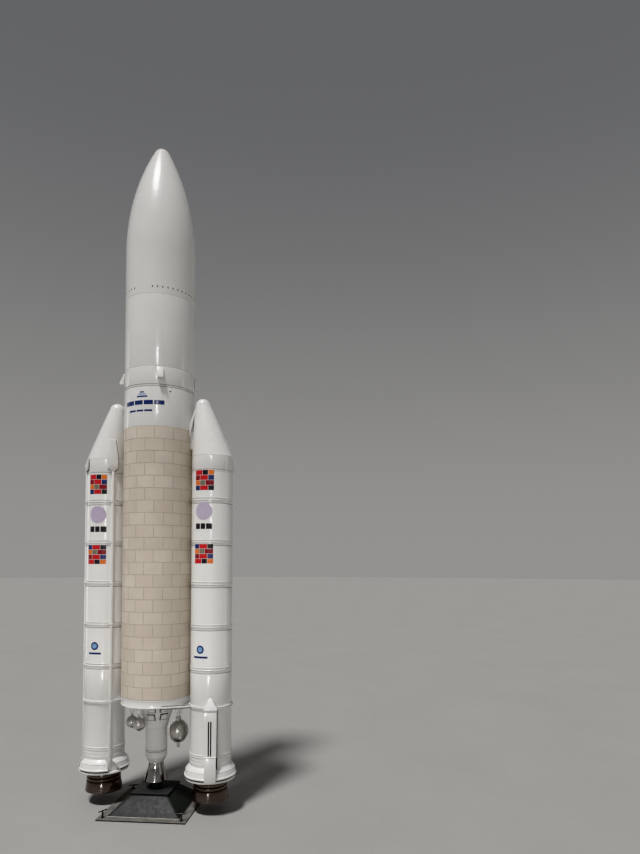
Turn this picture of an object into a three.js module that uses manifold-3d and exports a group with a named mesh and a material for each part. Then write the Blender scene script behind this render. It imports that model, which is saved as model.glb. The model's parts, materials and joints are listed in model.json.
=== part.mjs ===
// A display model of a space rocket at 1:12.5: a core, two strap-on boosters and a pyramid stand.
// Millimetres, +Z up. The origin is on the core's axis at floor level, and +X points to the right booster.
import * as THREE from "three";
import { mergeVertices } from "three/addons/utils/BufferGeometryUtils.js";
import Module from "manifold-3d";

const wasm = await Module();
wasm.setup();

// Driving dimensions
const GAP = 0.3; // between pieces that seat on each other
const CORE_FACETS = 48;
const BOOSTER_FACETS = 36;
const SMALL_FACETS = 16;

const STAND_TURN = 7.4; // degrees, the stand against the rocket
const PLATE = { side: 540, thick: 8, screwInset: 31 };
const PYRAMID = { footHalf: 221, topHalf: 112, top: 105, corner: 10 };
const TOP_PLATE = { half: 119, top: 115 };
const COLUMN_RADIUS = 38;
const SCREW = { stem: 4.5, hole: 5.2, barRadius: 3.5, barLength: 57, collar: 9, collarTop: 12 };

const CORE_RADIUS = 216;
const STAGE_RADIUS = 217;
const BELL = { bottom: 162, flare: 188, taper: 240, top: 274, mouth: 72, throat: 45, wall: 3, ceiling: 269 };
const SHROUD = { shoulder: 311, top: 491, radius: 66.5, foot: 45 };
const CONE_RADIUS = 116;
const AFT_RING = { bottom: 647, top: 698, radius: 214, lip: 6 };
const STAGE_TOP = 2346;
const UPPER_TOP = 2596;
const BAY_TOP = 2711;
const FAIRING_SEAM = 3157;
const OGIVE = { start: 3476, tip: 4180, tipRadius: 53 };

const BOOSTER_OFFSET = 362;
const BOOSTER_RADIUS = 126;
const NOZZLE = { bottom: 79, ledge: 139, mouth: 113, waist: 104, head: 100, wall: 4, ceiling: 200 };
const SKIRT = {
  bottom: 207, recess: 215, lip: 152, lipTop: 218, rim: 158.5, waist: 152.5,
  flare: 149, flareLow: 267, flareTop: 293, flareEnd: 295,
};
const FLANGE = { bottom: 645, top: 658, radius: 134.4 };
const CASE_TOP = 2074;
const NOSE = { base: 2175, top: 2546, tipRadius: 48, lean: 65.6, belly: 3 };

const rad = THREE.MathUtils.degToRad;

// Finishes
const FINISH = {
  gloss: { color: 0xe9e6e2, roughness: 0.25, metalness: 0 },
  foam: { color: 0xd9cdb8, roughness: 0.7, metalness: 0 },
  steel: { color: 0x1c1e20, roughness: 0.45, metalness: 0.3 },
  nozzle: { color: 0x3a302d, roughness: 0.3, metalness: 0.7 },
  tank: { color: 0x7d7b78, roughness: 0.35, metalness: 0.9 },
};

const rocket = new THREE.Group();

function piece(name, geometry, finish, parent = rocket) {
  const mesh = new THREE.Mesh(geometry, new THREE.MeshStandardMaterial(FINISH[finish]));
  mesh.name = name;
  parent.add(mesh);
  return mesh;
}

// A geometry with only its positions, its shared vertices merged
function welded(geometry) {
  const bare = geometry.index ? geometry.toNonIndexed() : geometry.clone();
  bare.deleteAttribute("normal");
  bare.deleteAttribute("uv");
  return mergeVertices(bare, 1e-3);
}

function solid(geometry) {
  const closed = welded(geometry);
  const vertProperties = closed.attributes.position.array;
  const triVerts = new Uint32Array(closed.index.array);
  return new wasm.Manifold(new wasm.Mesh({ numProp: 3, vertProperties, triVerts }));
}

function geometryOf(body) {
  const mesh = body.getMesh();
  const geometry = new THREE.BufferGeometry();
  geometry.setAttribute("position", new THREE.BufferAttribute(mesh.vertProperties, 3));
  geometry.setIndex(new THREE.BufferAttribute(mesh.triVerts, 1));
  return geometry;
}

// Body of revolution about +Z from rows of [radius, height], from the axis at the bottom to the axis on top
function turned(profile, facets) {
  const points = profile.map(([radius, height]) => new THREE.Vector2(radius, height));
  return new THREE.LatheGeometry(points, facets).rotateX(Math.PI / 2);
}

function drum(radius, bottom, top, facets) {
  return turned([[0, bottom], [radius, bottom], [radius, top], [0, top]], facets);
}

function box(width, depth, bottom, top) {
  return new THREE.BoxGeometry(width, depth, top - bottom).translate(0, 0, (bottom + top) / 2);
}

// Closed loft through rings that all have the same number of points, counterclockwise from above
function loft(rings) {
  const count = rings[0].length;
  const vertices = rings.flat().flatMap((point) => [point.x, point.y, point.z]);
  const faces = [];
  for (let level = 0; level < rings.length - 1; level++) {
    for (let i = 0; i < count; i++) {
      const a = level * count + i;
      const b = level * count + ((i + 1) % count);
      faces.push(a, b, b + count, a, b + count, a + count);
    }
  }
  const last = (rings.length - 1) * count;
  for (let i = 1; i < count - 1; i++) {
    faces.push(0, i + 1, i);
    faces.push(last, last + i, last + i + 1);
  }
  const geometry = new THREE.BufferGeometry();
  geometry.setAttribute("position", new THREE.Float32BufferAttribute(vertices, 3));
  geometry.setIndex(faces);
  return geometry;
}

// Plate with its outline in radial distance and height, centred on the +X direction
function radialPlate(outline, width) {
  const shape = new THREE.Shape(outline.map(([radius, height]) => new THREE.Vector2(radius, height)));
  const geometry = new THREE.ExtrudeGeometry(shape, { depth: width, bevelEnabled: false });
  return geometry.translate(0, 0, -width / 2).rotateX(Math.PI / 2);
}

// Straight round bar between two points
function rod(from, to, radius) {
  const path = new THREE.Vector3().subVectors(to, from);
  const bar = new THREE.CylinderGeometry(radius, radius, path.length(), 8);
  const direction = path.clone().normalize();
  const turn = new THREE.Quaternion().setFromUnitVectors(new THREE.Vector3(0, 1, 0), direction);
  const middle = new THREE.Vector3().addVectors(from, to).multiplyScalar(0.5);
  return bar.applyQuaternion(turn).translate(middle.x, middle.y, middle.z);
}

// Stand
function square(half, corner, height) {
  const near = half - corner;
  const corners = [
    [half, -near], [half, near], [near, half], [-near, half],
    [-half, near], [-half, -near], [-near, -half], [near, -half],
  ];
  return corners.map(([x, y]) => new THREE.Vector3(x, y, height));
}

const stand = new THREE.Group();
stand.rotation.z = rad(STAND_TURN);
rocket.add(stand);

const screwReach = PLATE.side / 2 - PLATE.screwInset;
// Side of each corner along the stand's X and Y, the bar's direction in degrees, and the top of the bar
const SCREWS = [
  { x: -1, y: -1, bar: 62, top: 53 },
  { x: 1, y: -1, bar: 8, top: 53 },
  { x: 1, y: 1, bar: 35, top: 53 },
  { x: -1, y: 1, bar: 20, top: 36 },
];

let plate = solid(box(PLATE.side, PLATE.side, 0, PLATE.thick));
for (const { x, y } of SCREWS) {
  const hole = drum(SCREW.hole, -1, PLATE.thick + 1, SMALL_FACETS);
  plate = plate.subtract(solid(hole.translate(x * screwReach, y * screwReach, 0)));
}
piece("base_plate", geometryOf(plate), "steel", stand);

piece(
  "stand_pyramid",
  loft([
    square(PYRAMID.footHalf, PYRAMID.corner * 1.6, PLATE.thick + GAP),
    square(PYRAMID.topHalf, PYRAMID.corner, PYRAMID.top - GAP),
  ]),
  "steel",
  stand,
);
piece(
  "stand_top_plate",
  loft([square(TOP_PLATE.half, 3, PYRAMID.top), square(TOP_PLATE.half, 3, TOP_PLATE.top)]),
  "steel",
  stand,
);
piece("stand_column", drum(COLUMN_RADIUS, TOP_PLATE.top + GAP, BELL.ceiling - GAP, 32), "steel", stand);

SCREWS.forEach(({ x, y, bar, top }, index) => {
  const stem = solid(drum(SCREW.stem, 0.5, top - SCREW.barRadius, SMALL_FACETS));
  const collar = solid(drum(SCREW.collar, PLATE.thick + GAP, SCREW.collarTop, SMALL_FACETS));
  const handle = new THREE.CylinderGeometry(SCREW.barRadius, SCREW.barRadius, SCREW.barLength, 12);
  handle.rotateZ(Math.PI / 2).rotateZ(rad(bar)).translate(0, 0, top - SCREW.barRadius);
  const screw = geometryOf(stem.add(collar).add(solid(handle)));
  piece(`levelling_screw_${index + 1}`, screw.translate(x * screwReach, y * screwReach, 0), "steel", stand);
});

// Core
piece(
  "engine_bell",
  turned(
    [
      [0, BELL.ceiling],
      [BELL.throat - BELL.wall, BELL.ceiling],
      [BELL.throat + 3 - BELL.wall, BELL.taper],
      [BELL.mouth - 7 - BELL.wall, BELL.flare],
      [BELL.mouth - BELL.wall, BELL.bottom],
      [BELL.mouth, BELL.bottom],
      [BELL.mouth - 7, BELL.flare],
      [BELL.throat + 4, BELL.taper],
      [BELL.throat, BELL.ceiling - 3],
      [BELL.throat, BELL.top],
      [0, BELL.top],
    ],
    32,
  ),
  "nozzle",
);
piece(
  "engine_shroud",
  turned(
    [
      [0, BELL.top + GAP],
      [SHROUD.foot, BELL.top + GAP],
      [SHROUD.radius, SHROUD.shoulder],
      [SHROUD.radius, SHROUD.top],
      [0, SHROUD.top],
    ],
    32,
  ),
  "gloss",
);

// Small frames on the thrust cone: direction in degrees, and the height of each one's middle and its size
const FRAMES = [
  { at: -80.5, middle: 611, tall: 27 },
  { at: -80.5, middle: 566, tall: 39 },
  { at: -38.5, middle: 611, tall: 27 },
  { at: -38.5, middle: 566, tall: 39 },
];
const FRAME = { thick: 12, wide: 50, proud: 5 };
const coneSlope = Math.atan2(CONE_RADIUS - SHROUD.radius, AFT_RING.bottom - SHROUD.top);
let cone = solid(
  turned(
    [
      [0, SHROUD.top + GAP],
      [SHROUD.radius, SHROUD.top + GAP],
      [CONE_RADIUS, AFT_RING.bottom - GAP],
      [0, AFT_RING.bottom - GAP],
    ],
    CORE_FACETS,
  ),
);
for (const { at, middle, tall } of FRAMES) {
  const radius = SHROUD.radius + (middle - SHROUD.top) * Math.tan(coneSlope);
  const frame = new THREE.BoxGeometry(FRAME.thick, FRAME.wide, tall).rotateY(coneSlope);
  frame.translate(radius + FRAME.proud - FRAME.thick / 2, 0, middle);
  cone = cone.add(solid(frame.rotateZ(rad(at))));
}
piece("thrust_cone", geometryOf(cone), "gloss");

piece(
  "core_aft_ring",
  turned(
    [
      [0, AFT_RING.bottom],
      [STAGE_RADIUS, AFT_RING.bottom],
      [STAGE_RADIUS, AFT_RING.bottom + AFT_RING.lip],
      [AFT_RING.radius, AFT_RING.bottom + AFT_RING.lip + 2],
      [AFT_RING.radius, AFT_RING.top - GAP],
      [0, AFT_RING.top - GAP],
    ],
    CORE_FACETS,
  ),
  "gloss",
);
piece("core_stage", drum(STAGE_RADIUS, AFT_RING.top, STAGE_TOP - GAP, CORE_FACETS), "foam");
piece("upper_stage", drum(CORE_RADIUS, STAGE_TOP, UPPER_TOP - GAP, CORE_FACETS), "gloss");
piece("equipment_bay", drum(CORE_RADIUS, UPPER_TOP, BAY_TOP - GAP, CORE_FACETS), "gloss");
piece("fairing_cylinder", drum(CORE_RADIUS, BAY_TOP, FAIRING_SEAM - GAP, CORE_FACETS), "gloss");

// The ogive's arc is tangent to the cylinder and to the round tip
function ogiveProfile() {
  const tipCentre = OGIVE.tip - OGIVE.tipRadius;
  const rise = tipCentre - OGIVE.start;
  const spread = 2 * (CORE_RADIUS - OGIVE.tipRadius);
  const arc = (CORE_RADIUS ** 2 + rise ** 2 - OGIVE.tipRadius ** 2) / spread;
  const end = Math.atan2(rise, arc - CORE_RADIUS);
  const profile = [[0, FAIRING_SEAM], [CORE_RADIUS, FAIRING_SEAM]];
  const arcSteps = 10;
  for (let i = 0; i <= arcSteps; i++) {
    const angle = (end * i) / arcSteps;
    profile.push([CORE_RADIUS - arc + arc * Math.cos(angle), OGIVE.start + arc * Math.sin(angle)]);
  }
  const tipSteps = 4;
  for (let i = 1; i < tipSteps; i++) {
    const angle = end + ((Math.PI / 2 - end) * i) / tipSteps;
    profile.push([OGIVE.tipRadius * Math.cos(angle), tipCentre + OGIVE.tipRadius * Math.sin(angle)]);
  }
  profile.push([0, OGIVE.tip]);
  return profile;
}
piece("fairing_nose", turned(ogiveProfile(), CORE_FACETS), "gloss");

// Wedge blocks round the equipment bay, a quarter turn apart
const WEDGE = { bottom: 2635, top: 2705, reach: 30, width: 36, first: -62.7 };
for (let i = 0; i < 4; i++) {
  const back = CORE_RADIUS + GAP;
  const outline = [
    [back, WEDGE.bottom],
    [back + WEDGE.reach, WEDGE.bottom],
    [back + WEDGE.reach, WEDGE.bottom + 8],
    [back + 4, WEDGE.top],
    [back, WEDGE.top],
  ];
  const wedge = radialPlate(outline, WEDGE.width).rotateZ(rad(WEDGE.first + 90 * i));
  piece(`thruster_block_${i + 1}`, wedge, "gloss");
}

// Gas spheres, each under a boss that two rods carry from the aft ring
const SPHERES = [
  { x: -121, y: -88, z: 535, radius: 36.6 },
  { x: -44, y: -139, z: 537, radius: 39.8 },
];
const hangFrom = AFT_RING.bottom - GAP;
SPHERES.forEach(({ x, y, z, radius }, index) => {
  const ball = new THREE.SphereGeometry(radius, 24, 12).rotateX(Math.PI / 2).translate(x, y, z);
  piece(`gas_sphere_${index + 1}`, ball, "tank");
  const bossBottom = z + radius + GAP;
  let hanger = solid(drum(9, bossBottom, bossBottom + 10, 12).translate(x, y, 0));
  for (const side of [-1, 1]) {
    const foot = new THREE.Vector3(x + 4 * side, y, bossBottom + 6);
    const head = new THREE.Vector3(x + 22 * side, y, hangFrom - 2);
    hanger = hanger.add(solid(rod(foot, head, 2.5)));
    hanger = hanger.add(solid(drum(6, hangFrom - 4, hangFrom, 12).translate(head.x, head.y, 0)));
  }
  piece(`sphere_hanger_${index + 1}`, geometryOf(hanger), "tank");
});

// Ovoid tank with its seam flange, a nub below, and a collar and a stem on top
const OVOID = {
  x: 140, y: 17, z: 467, radius: 56, half: 70, turn: 26.9, flange: 5,
  nub: 31, nubRadius: 9, collar: 18, collarRadius: 17, stem: 37, stemRadius: 9,
};
const ovoidRows = 12;
const ovoidProfile = [];
for (let i = 0; i <= ovoidRows; i++) {
  const angle = -Math.PI / 2 + (Math.PI * i) / ovoidRows;
  ovoidProfile.push([i % ovoidRows ? OVOID.radius * Math.cos(angle) : 0, OVOID.half * Math.sin(angle)]);
}
const seam = new THREE.CylinderGeometry(1, 1, 6, 32).rotateX(Math.PI / 2);
seam.rotateX(Math.PI / 2).scale(OVOID.radius + OVOID.flange, 1, OVOID.half + OVOID.flange);
const nubEnd = -OVOID.half - OVOID.nub;
const nubRoot = -OVOID.half + 6;
const nubProfile = [[0, nubEnd], [OVOID.nubRadius, nubEnd], [OVOID.nubRadius + 4, nubRoot], [0, nubRoot]];
const nub = turned(nubProfile, SMALL_FACETS);
const fittings = [
  seam.rotateZ(rad(OVOID.turn)),
  nub,
  drum(OVOID.collarRadius, OVOID.half - 6, OVOID.half + OVOID.collar, SMALL_FACETS),
  drum(OVOID.stemRadius, OVOID.half + OVOID.collar - 2, OVOID.half + OVOID.stem, SMALL_FACETS),
];
let ovoid = solid(turned(ovoidProfile, 24));
for (const fitting of fittings) {
  ovoid = ovoid.add(solid(fitting));
}
piece("ovoid_tank", geometryOf(ovoid).translate(OVOID.x, OVOID.y, OVOID.z), "tank");
const ovoidTop = OVOID.z + OVOID.half + OVOID.stem + GAP;
const ovoidCap = drum(16, ovoidTop, ovoidTop + 6, SMALL_FACETS);
const ovoidHanger = geometryOf(solid(box(44, 8, ovoidTop, hangFrom)).add(solid(ovoidCap)));
piece("ovoid_hanger", ovoidHanger.rotateZ(rad(OVOID.turn)).translate(OVOID.x, OVOID.y, 0), "gloss");

// Boosters: one set of pieces about the booster's own axis, used at +X and again half a turn round
// Rows of centre offset towards the core, radius and height, from the nose's base to its tip
function noseRings(grow) {
  const tipCentre = NOSE.top - NOSE.tipRadius;
  const halfAngle = Math.atan2(BOOSTER_RADIUS - NOSE.tipRadius, tipCentre - NOSE.base);
  const coneTop = tipCentre + NOSE.tipRadius * Math.sin(halfAngle);
  const coneEnd = NOSE.tipRadius * Math.cos(halfAngle);
  const rows = [];
  const coneSteps = 4;
  for (let i = 0; i <= coneSteps; i++) {
    const t = i / coneSteps;
    const belly = NOSE.belly * 4 * t * (1 - t);
    const radius = BOOSTER_RADIUS + (coneEnd - BOOSTER_RADIUS) * t + belly;
    rows.push([NOSE.lean * t, radius, NOSE.base + (coneTop - NOSE.base) * t]);
  }
  for (const degrees of [32, 50, 68, 82]) {
    const angle = rad(degrees);
    rows.push([NOSE.lean, NOSE.tipRadius * Math.cos(angle), tipCentre + NOSE.tipRadius * Math.sin(angle)]);
  }
  rows.push([NOSE.lean, 2, NOSE.top]);
  return rows.map(([offset, radius, height], level) => {
    const ring = [];
    const shift = level === 0 ? -grow : level === rows.length - 1 ? grow : 0;
    for (let i = 0; i < BOOSTER_FACETS; i++) {
      const angle = (2 * Math.PI * i) / BOOSTER_FACETS;
      const reach = radius + grow;
      ring.push(new THREE.Vector3(reach * Math.cos(angle) - offset, reach * Math.sin(angle), height + shift));
    }
    return ring;
  });
}

const nozzleProfile = [
  [0, NOZZLE.ceiling],
  [NOZZLE.head - 10, NOZZLE.ceiling],
  [NOZZLE.waist - NOZZLE.wall, NOZZLE.ledge],
  [NOZZLE.mouth - NOZZLE.wall, NOZZLE.bottom],
  [NOZZLE.mouth, NOZZLE.bottom],
  [NOZZLE.waist + 4, NOZZLE.ledge - 3],
  [NOZZLE.waist, NOZZLE.ledge],
  [NOZZLE.head, SKIRT.recess - GAP],
  [0, SKIRT.recess - GAP],
];
const skirtProfile = [
  [0, SKIRT.recess],
  [SKIRT.lip - 8, SKIRT.recess],
  [SKIRT.lip - 4, SKIRT.bottom],
  [SKIRT.lip, SKIRT.bottom],
  [SKIRT.lip, SKIRT.lipTop],
  [SKIRT.rim, SKIRT.lipTop + 8],
  [SKIRT.rim, SKIRT.lipTop + 18],
  [SKIRT.waist, SKIRT.lipTop + 21],
  [SKIRT.flare, SKIRT.flareLow],
  [BOOSTER_RADIUS + 2, SKIRT.flareTop],
  [BOOSTER_RADIUS, SKIRT.flareEnd],
  [BOOSTER_RADIUS, 352],
  [BOOSTER_RADIUS + 3, 354],
  [BOOSTER_RADIUS + 3, 366],
  [BOOSTER_RADIUS, 368],
  [BOOSTER_RADIUS, FLANGE.bottom - GAP],
  [0, FLANGE.bottom - GAP],
];

// Notches in the flare for the feet of the ducts: direction of the upright side, and of the slanted one
const NOTCHES = [
  { upright: 50.5, low: 17, high: 41 },
  { upright: 129.5, low: 163, high: 139 },
];
const NOTCH_REACH = 175;
function aftSkirt() {
  const rows = [
    { side: "low", height: SKIRT.lipTop },
    { side: "high", height: SKIRT.flareEnd },
  ];
  const shell = drum(BOOSTER_RADIUS, SKIRT.lipTop - 1, SKIRT.flareEnd + 1, BOOSTER_FACETS);
  let body = solid(turned(skirtProfile, BOOSTER_FACETS));
  for (const notch of NOTCHES) {
    const rings = rows.map(({ side, height }) => {
      const from = Math.min(notch.upright, notch[side]);
      const to = Math.max(notch.upright, notch[side]);
      const ring = [new THREE.Vector3(0, 0, height)];
      const arcSteps = 5;
      for (let i = 0; i <= arcSteps; i++) {
        const angle = rad(from + ((to - from) * i) / arcSteps);
        ring.push(new THREE.Vector3(NOTCH_REACH * Math.cos(angle), NOTCH_REACH * Math.sin(angle), height));
      }
      return ring;
    });
    body = body.subtract(solid(loft(rings)).subtract(solid(shell)));
  }
  return geometryOf(body);
}

// Heights of the raised bands where the case's segments meet
const CASE_JOINTS = [876, 1133, 1391, 1646, 1903];
const BAND = { half: 8, proud: 2 };
const caseProfile = [[0, FLANGE.top + GAP], [BOOSTER_RADIUS, FLANGE.top + GAP]];
for (const joint of CASE_JOINTS) {
  caseProfile.push([BOOSTER_RADIUS, joint - BAND.half]);
  caseProfile.push([BOOSTER_RADIUS + BAND.proud, joint - BAND.half + 1]);
  caseProfile.push([BOOSTER_RADIUS + BAND.proud, joint + BAND.half - 1]);
  caseProfile.push([BOOSTER_RADIUS, joint + BAND.half]);
}
caseProfile.push([BOOSTER_RADIUS, CASE_TOP - GAP], [0, CASE_TOP - GAP]);

// Cable ducts from the lip of the skirt up: the outline steps over each band and over the flange
const DUCT = { width: 16, reach: 10, bottom: SKIRT.lipTop + GAP, podBottom: 2095 };
const facetDepth = (radius) => radius * Math.cos(Math.PI / BOOSTER_FACETS);
const ductSeat = facetDepth(BOOSTER_RADIUS) + GAP;
const ductOutline = [[ductSeat, DUCT.bottom]];
const humps = [
  { from: 352, to: 368, radius: BOOSTER_RADIUS + 3 },
  { from: FLANGE.bottom, to: FLANGE.top, radius: FLANGE.radius },
  ...CASE_JOINTS.map((joint) => ({
    from: joint - BAND.half,
    to: joint + BAND.half,
    radius: BOOSTER_RADIUS + BAND.proud,
  })),
];
for (const { from, to, radius } of humps) {
  const over = facetDepth(radius) + GAP;
  ductOutline.push([ductSeat, from - GAP], [over, from - GAP], [over, to + GAP], [ductSeat, to + GAP]);
}
const ductFace = ductSeat + DUCT.reach;
ductOutline.push([ductSeat, DUCT.podBottom], [ductFace, DUCT.podBottom], [ductFace, DUCT.bottom + 12]);

// Pod over a duct's head: a shield outline across, and a wedge outline outwards, cut to the booster's surface
const POD = {
  bottom: 2095, shoulder: 2111, waist: 2190, top: 2298, footHalf: 9, bodyHalf: 30, headHalf: 18, face: 138,
};
function pod(direction, headReach) {
  const shield = new THREE.Shape(
    [
      [-POD.footHalf, POD.bottom],
      [POD.footHalf, POD.bottom],
      [POD.bodyHalf, POD.shoulder],
      [POD.bodyHalf, POD.waist],
      [POD.headHalf, POD.top],
      [-POD.headHalf, POD.top],
      [-POD.bodyHalf, POD.waist],
      [-POD.bodyHalf, POD.shoulder],
    ].map(([across, height]) => new THREE.Vector2(across, height)),
  );
  const across = new THREE.ExtrudeGeometry(shield, { depth: 120, bevelEnabled: false });
  across.rotateX(Math.PI / 2).rotateZ(Math.PI / 2).translate(50, 0, 0);
  const outwards = radialPlate(
    [
      [50, POD.bottom + GAP],
      [ductFace, POD.bottom + GAP],
      [POD.face, POD.shoulder + 16],
      [POD.face, POD.shoulder + 30],
      [headReach, POD.top - 4],
      [headReach - 4, POD.top],
      [50, POD.top],
    ],
    90,
  );
  const shell = solid(across).intersect(solid(outwards)).rotate([0, 0, direction]);
  const skin = solid(drum(BOOSTER_RADIUS + GAP, POD.bottom - 50, NOSE.base, BOOSTER_FACETS));
  return geometryOf(shell.subtract(skin).subtract(solid(loft(noseRings(GAP)))));
}

// Actuator box on the aft skirt: a pointed cap, a tall box and a wider box at its foot
const ACTUATOR = { at: -70, half: 36, apex: 711, shoulder: 640, step: 359, face: 156, footFace: 165 };
function actuator() {
  const tall = radialPlate(
    [
      [100, ACTUATOR.step],
      [ACTUATOR.face, ACTUATOR.step],
      [ACTUATOR.face, ACTUATOR.shoulder],
      [100, ACTUATOR.shoulder],
    ],
    2 * ACTUATOR.half,
  );
  const foot = radialPlate(
    [
      [100, SKIRT.bottom],
      [ACTUATOR.footFace, SKIRT.bottom],
      [ACTUATOR.footFace, ACTUATOR.step + 4],
      [100, ACTUATOR.step + 4],
    ],
    2 * ACTUATOR.half - 6,
  );
  const capRing = (radius, half, height) => [
    new THREE.Vector3(100, -half, height),
    new THREE.Vector3(radius, -half, height),
    new THREE.Vector3(radius, half, height),
    new THREE.Vector3(100, half, height),
  ];
  const cap = loft([
    capRing(ACTUATOR.face + 4, ACTUATOR.half + 3, ACTUATOR.shoulder),
    capRing(ACTUATOR.face + 4, ACTUATOR.half + 3, ACTUATOR.shoulder + 10),
    capRing(BOOSTER_RADIUS + 2, 4, ACTUATOR.apex),
  ]);
  const body = solid(tall).add(solid(foot)).add(solid(cap)).rotate([0, 0, ACTUATOR.at]);
  const lipTopRow = 4;
  const skirtCut = skirtProfile
    .slice(lipTopRow)
    .map(([radius, height]) => [radius + (radius ? GAP : 0), height]);
  const below = SKIRT.bottom - 5;
  const cutter = turned([[0, below], [SKIRT.lip + GAP, below], ...skirtCut], BOOSTER_FACETS);
  const ring = drum(FLANGE.radius + GAP, FLANGE.bottom - GAP - 1, FLANGE.top + GAP, BOOSTER_FACETS);
  const shell = drum(BOOSTER_RADIUS + GAP, FLANGE.top - 1, ACTUATOR.apex + 20, BOOSTER_FACETS);
  return geometryOf(body.subtract(solid(cutter)).subtract(solid(ring)).subtract(solid(shell)));
}

// Forward fitting in the gap to the core: a steep blade, its edges given at the core's wall, over a block
const FITTING = {
  lower: 2308, lowerSlope: 4, upper: 2388, upperSlope: 2.6, front: -28, back: 8,
  blockBottom: 2230, blockTop: 2344,
};
function forwardFitting() {
  const inner = 205;
  const outer = 262;
  const lowEdge = (x) => FITTING.lower + FITTING.lowerSlope * (x - STAGE_RADIUS);
  const highEdge = (x) => FITTING.upper + FITTING.upperSlope * (x - STAGE_RADIUS);
  const blade = radialPlate(
    [[inner, lowEdge(inner)], [outer, lowEdge(outer)], [outer, highEdge(outer)], [inner, highEdge(inner)]],
    FITTING.back - FITTING.front,
  ).translate(-BOOSTER_OFFSET, (FITTING.back + FITTING.front) / 2, 0);
  const block = box(outer - inner, 24, FITTING.blockBottom, FITTING.blockTop);
  block.translate((outer + inner) / 2 - BOOSTER_OFFSET, 2, 0);
  const stage = drum(STAGE_RADIUS + GAP, 2100, STAGE_TOP, CORE_FACETS).translate(-BOOSTER_OFFSET, 0, 0);
  const upper = drum(CORE_RADIUS + GAP, STAGE_TOP - 1, UPPER_TOP, CORE_FACETS);
  upper.translate(-BOOSTER_OFFSET, 0, 0);
  let body = solid(blade).add(solid(block));
  const shell = drum(BOOSTER_RADIUS + GAP, 2100, NOSE.base, BOOSTER_FACETS);
  for (const cutter of [stage, upper, loft(noseRings(GAP)), shell]) {
    body = body.subtract(solid(cutter));
  }
  const parts = body.decompose().sort((a, b) => b.volume() - a.volume());
  return geometryOf(parts[0]);
}

// Rear strut: a bar that runs past the lip of the aft ring, from the core's front to the booster's flange
const STRUT = { from: [122, -182], to: [264, -100], wide: 10, bottom: 638, top: 651 };
function rearStrut() {
  const dx = STRUT.to[0] - STRUT.from[0];
  const dy = STRUT.to[1] - STRUT.from[1];
  const length = Math.hypot(dx, dy) + 20;
  const bar = box(length, STRUT.wide, STRUT.bottom, STRUT.top).translate(length / 2, 0, 0);
  bar.rotateZ(Math.atan2(dy, dx)).translate(STRUT.from[0] - BOOSTER_OFFSET, STRUT.from[1], 0);
  const ringCut = drum(STAGE_RADIUS + GAP, AFT_RING.bottom - GAP, AFT_RING.top, CORE_FACETS);
  const cutters = [
    ringCut.translate(-BOOSTER_OFFSET, 0, 0),
    drum(BOOSTER_RADIUS + GAP, STRUT.bottom - 1, FLANGE.bottom - 1, BOOSTER_FACETS),
    drum(FLANGE.radius + GAP, FLANGE.bottom - 1.5, FLANGE.top, BOOSTER_FACETS),
  ];
  let body = solid(bar);
  for (const cutter of cutters) {
    body = body.subtract(solid(cutter));
  }
  return geometryOf(body);
}

const flangeRing = drum(FLANGE.radius, FLANGE.bottom, FLANGE.top, BOOSTER_FACETS);
const forwardSkirt = drum(BOOSTER_RADIUS, CASE_TOP, NOSE.base - GAP, BOOSTER_FACETS);
const innerPod = pod(135, 122);
const outerPod = pod(45, 90);
const boosterPieces = [
  { name: "nozzle", geometry: turned(nozzleProfile, BOOSTER_FACETS), finish: "nozzle" },
  { name: "aft_skirt", geometry: aftSkirt(), finish: "gloss" },
  { name: "flange_ring", geometry: flangeRing, finish: "gloss" },
  { name: "case", geometry: turned(caseProfile, BOOSTER_FACETS), finish: "gloss" },
  { name: "forward_skirt", geometry: forwardSkirt, finish: "gloss" },
  { name: "nose", geometry: loft(noseRings(0)), finish: "gloss" },
  { name: "duct_inner", geometry: radialPlate(ductOutline, DUCT.width).rotateZ(rad(135)), finish: "gloss" },
  { name: "duct_outer", geometry: radialPlate(ductOutline, DUCT.width).rotateZ(rad(45)), finish: "gloss" },
  { name: "pod_inner", geometry: innerPod, finish: "gloss" },
  { name: "pod_outer", geometry: outerPod, finish: "gloss" },
  { name: "actuator_box", geometry: actuator(), finish: "gloss" },
  { name: "forward_fitting", geometry: forwardFitting(), finish: "gloss" },
  { name: "rear_strut", geometry: rearStrut(), finish: "gloss" },
];

for (const [side, turn] of [["right", 0], ["left", 180]]) {
  const around = new THREE.Group();
  around.rotation.z = rad(turn);
  const booster = new THREE.Group();
  booster.position.x = BOOSTER_OFFSET;
  around.add(booster);
  rocket.add(around);
  for (const { name, geometry, finish } of boosterPieces) {
    piece(`${side}_${name}`, geometry, finish, booster);
  }
}

export default rocket;
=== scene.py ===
"""Looks of the display rocket: core with ogive fairing, two strap-on boosters, pyramid stand.

Everything is in metres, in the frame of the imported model: +Z up, origin on the core's axis at floor level.
Angles are in degrees about +Z, from +X; the front of the rocket faces -90.
"""

import json
import math

import bpy
from mathutils import Matrix, Vector


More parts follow.
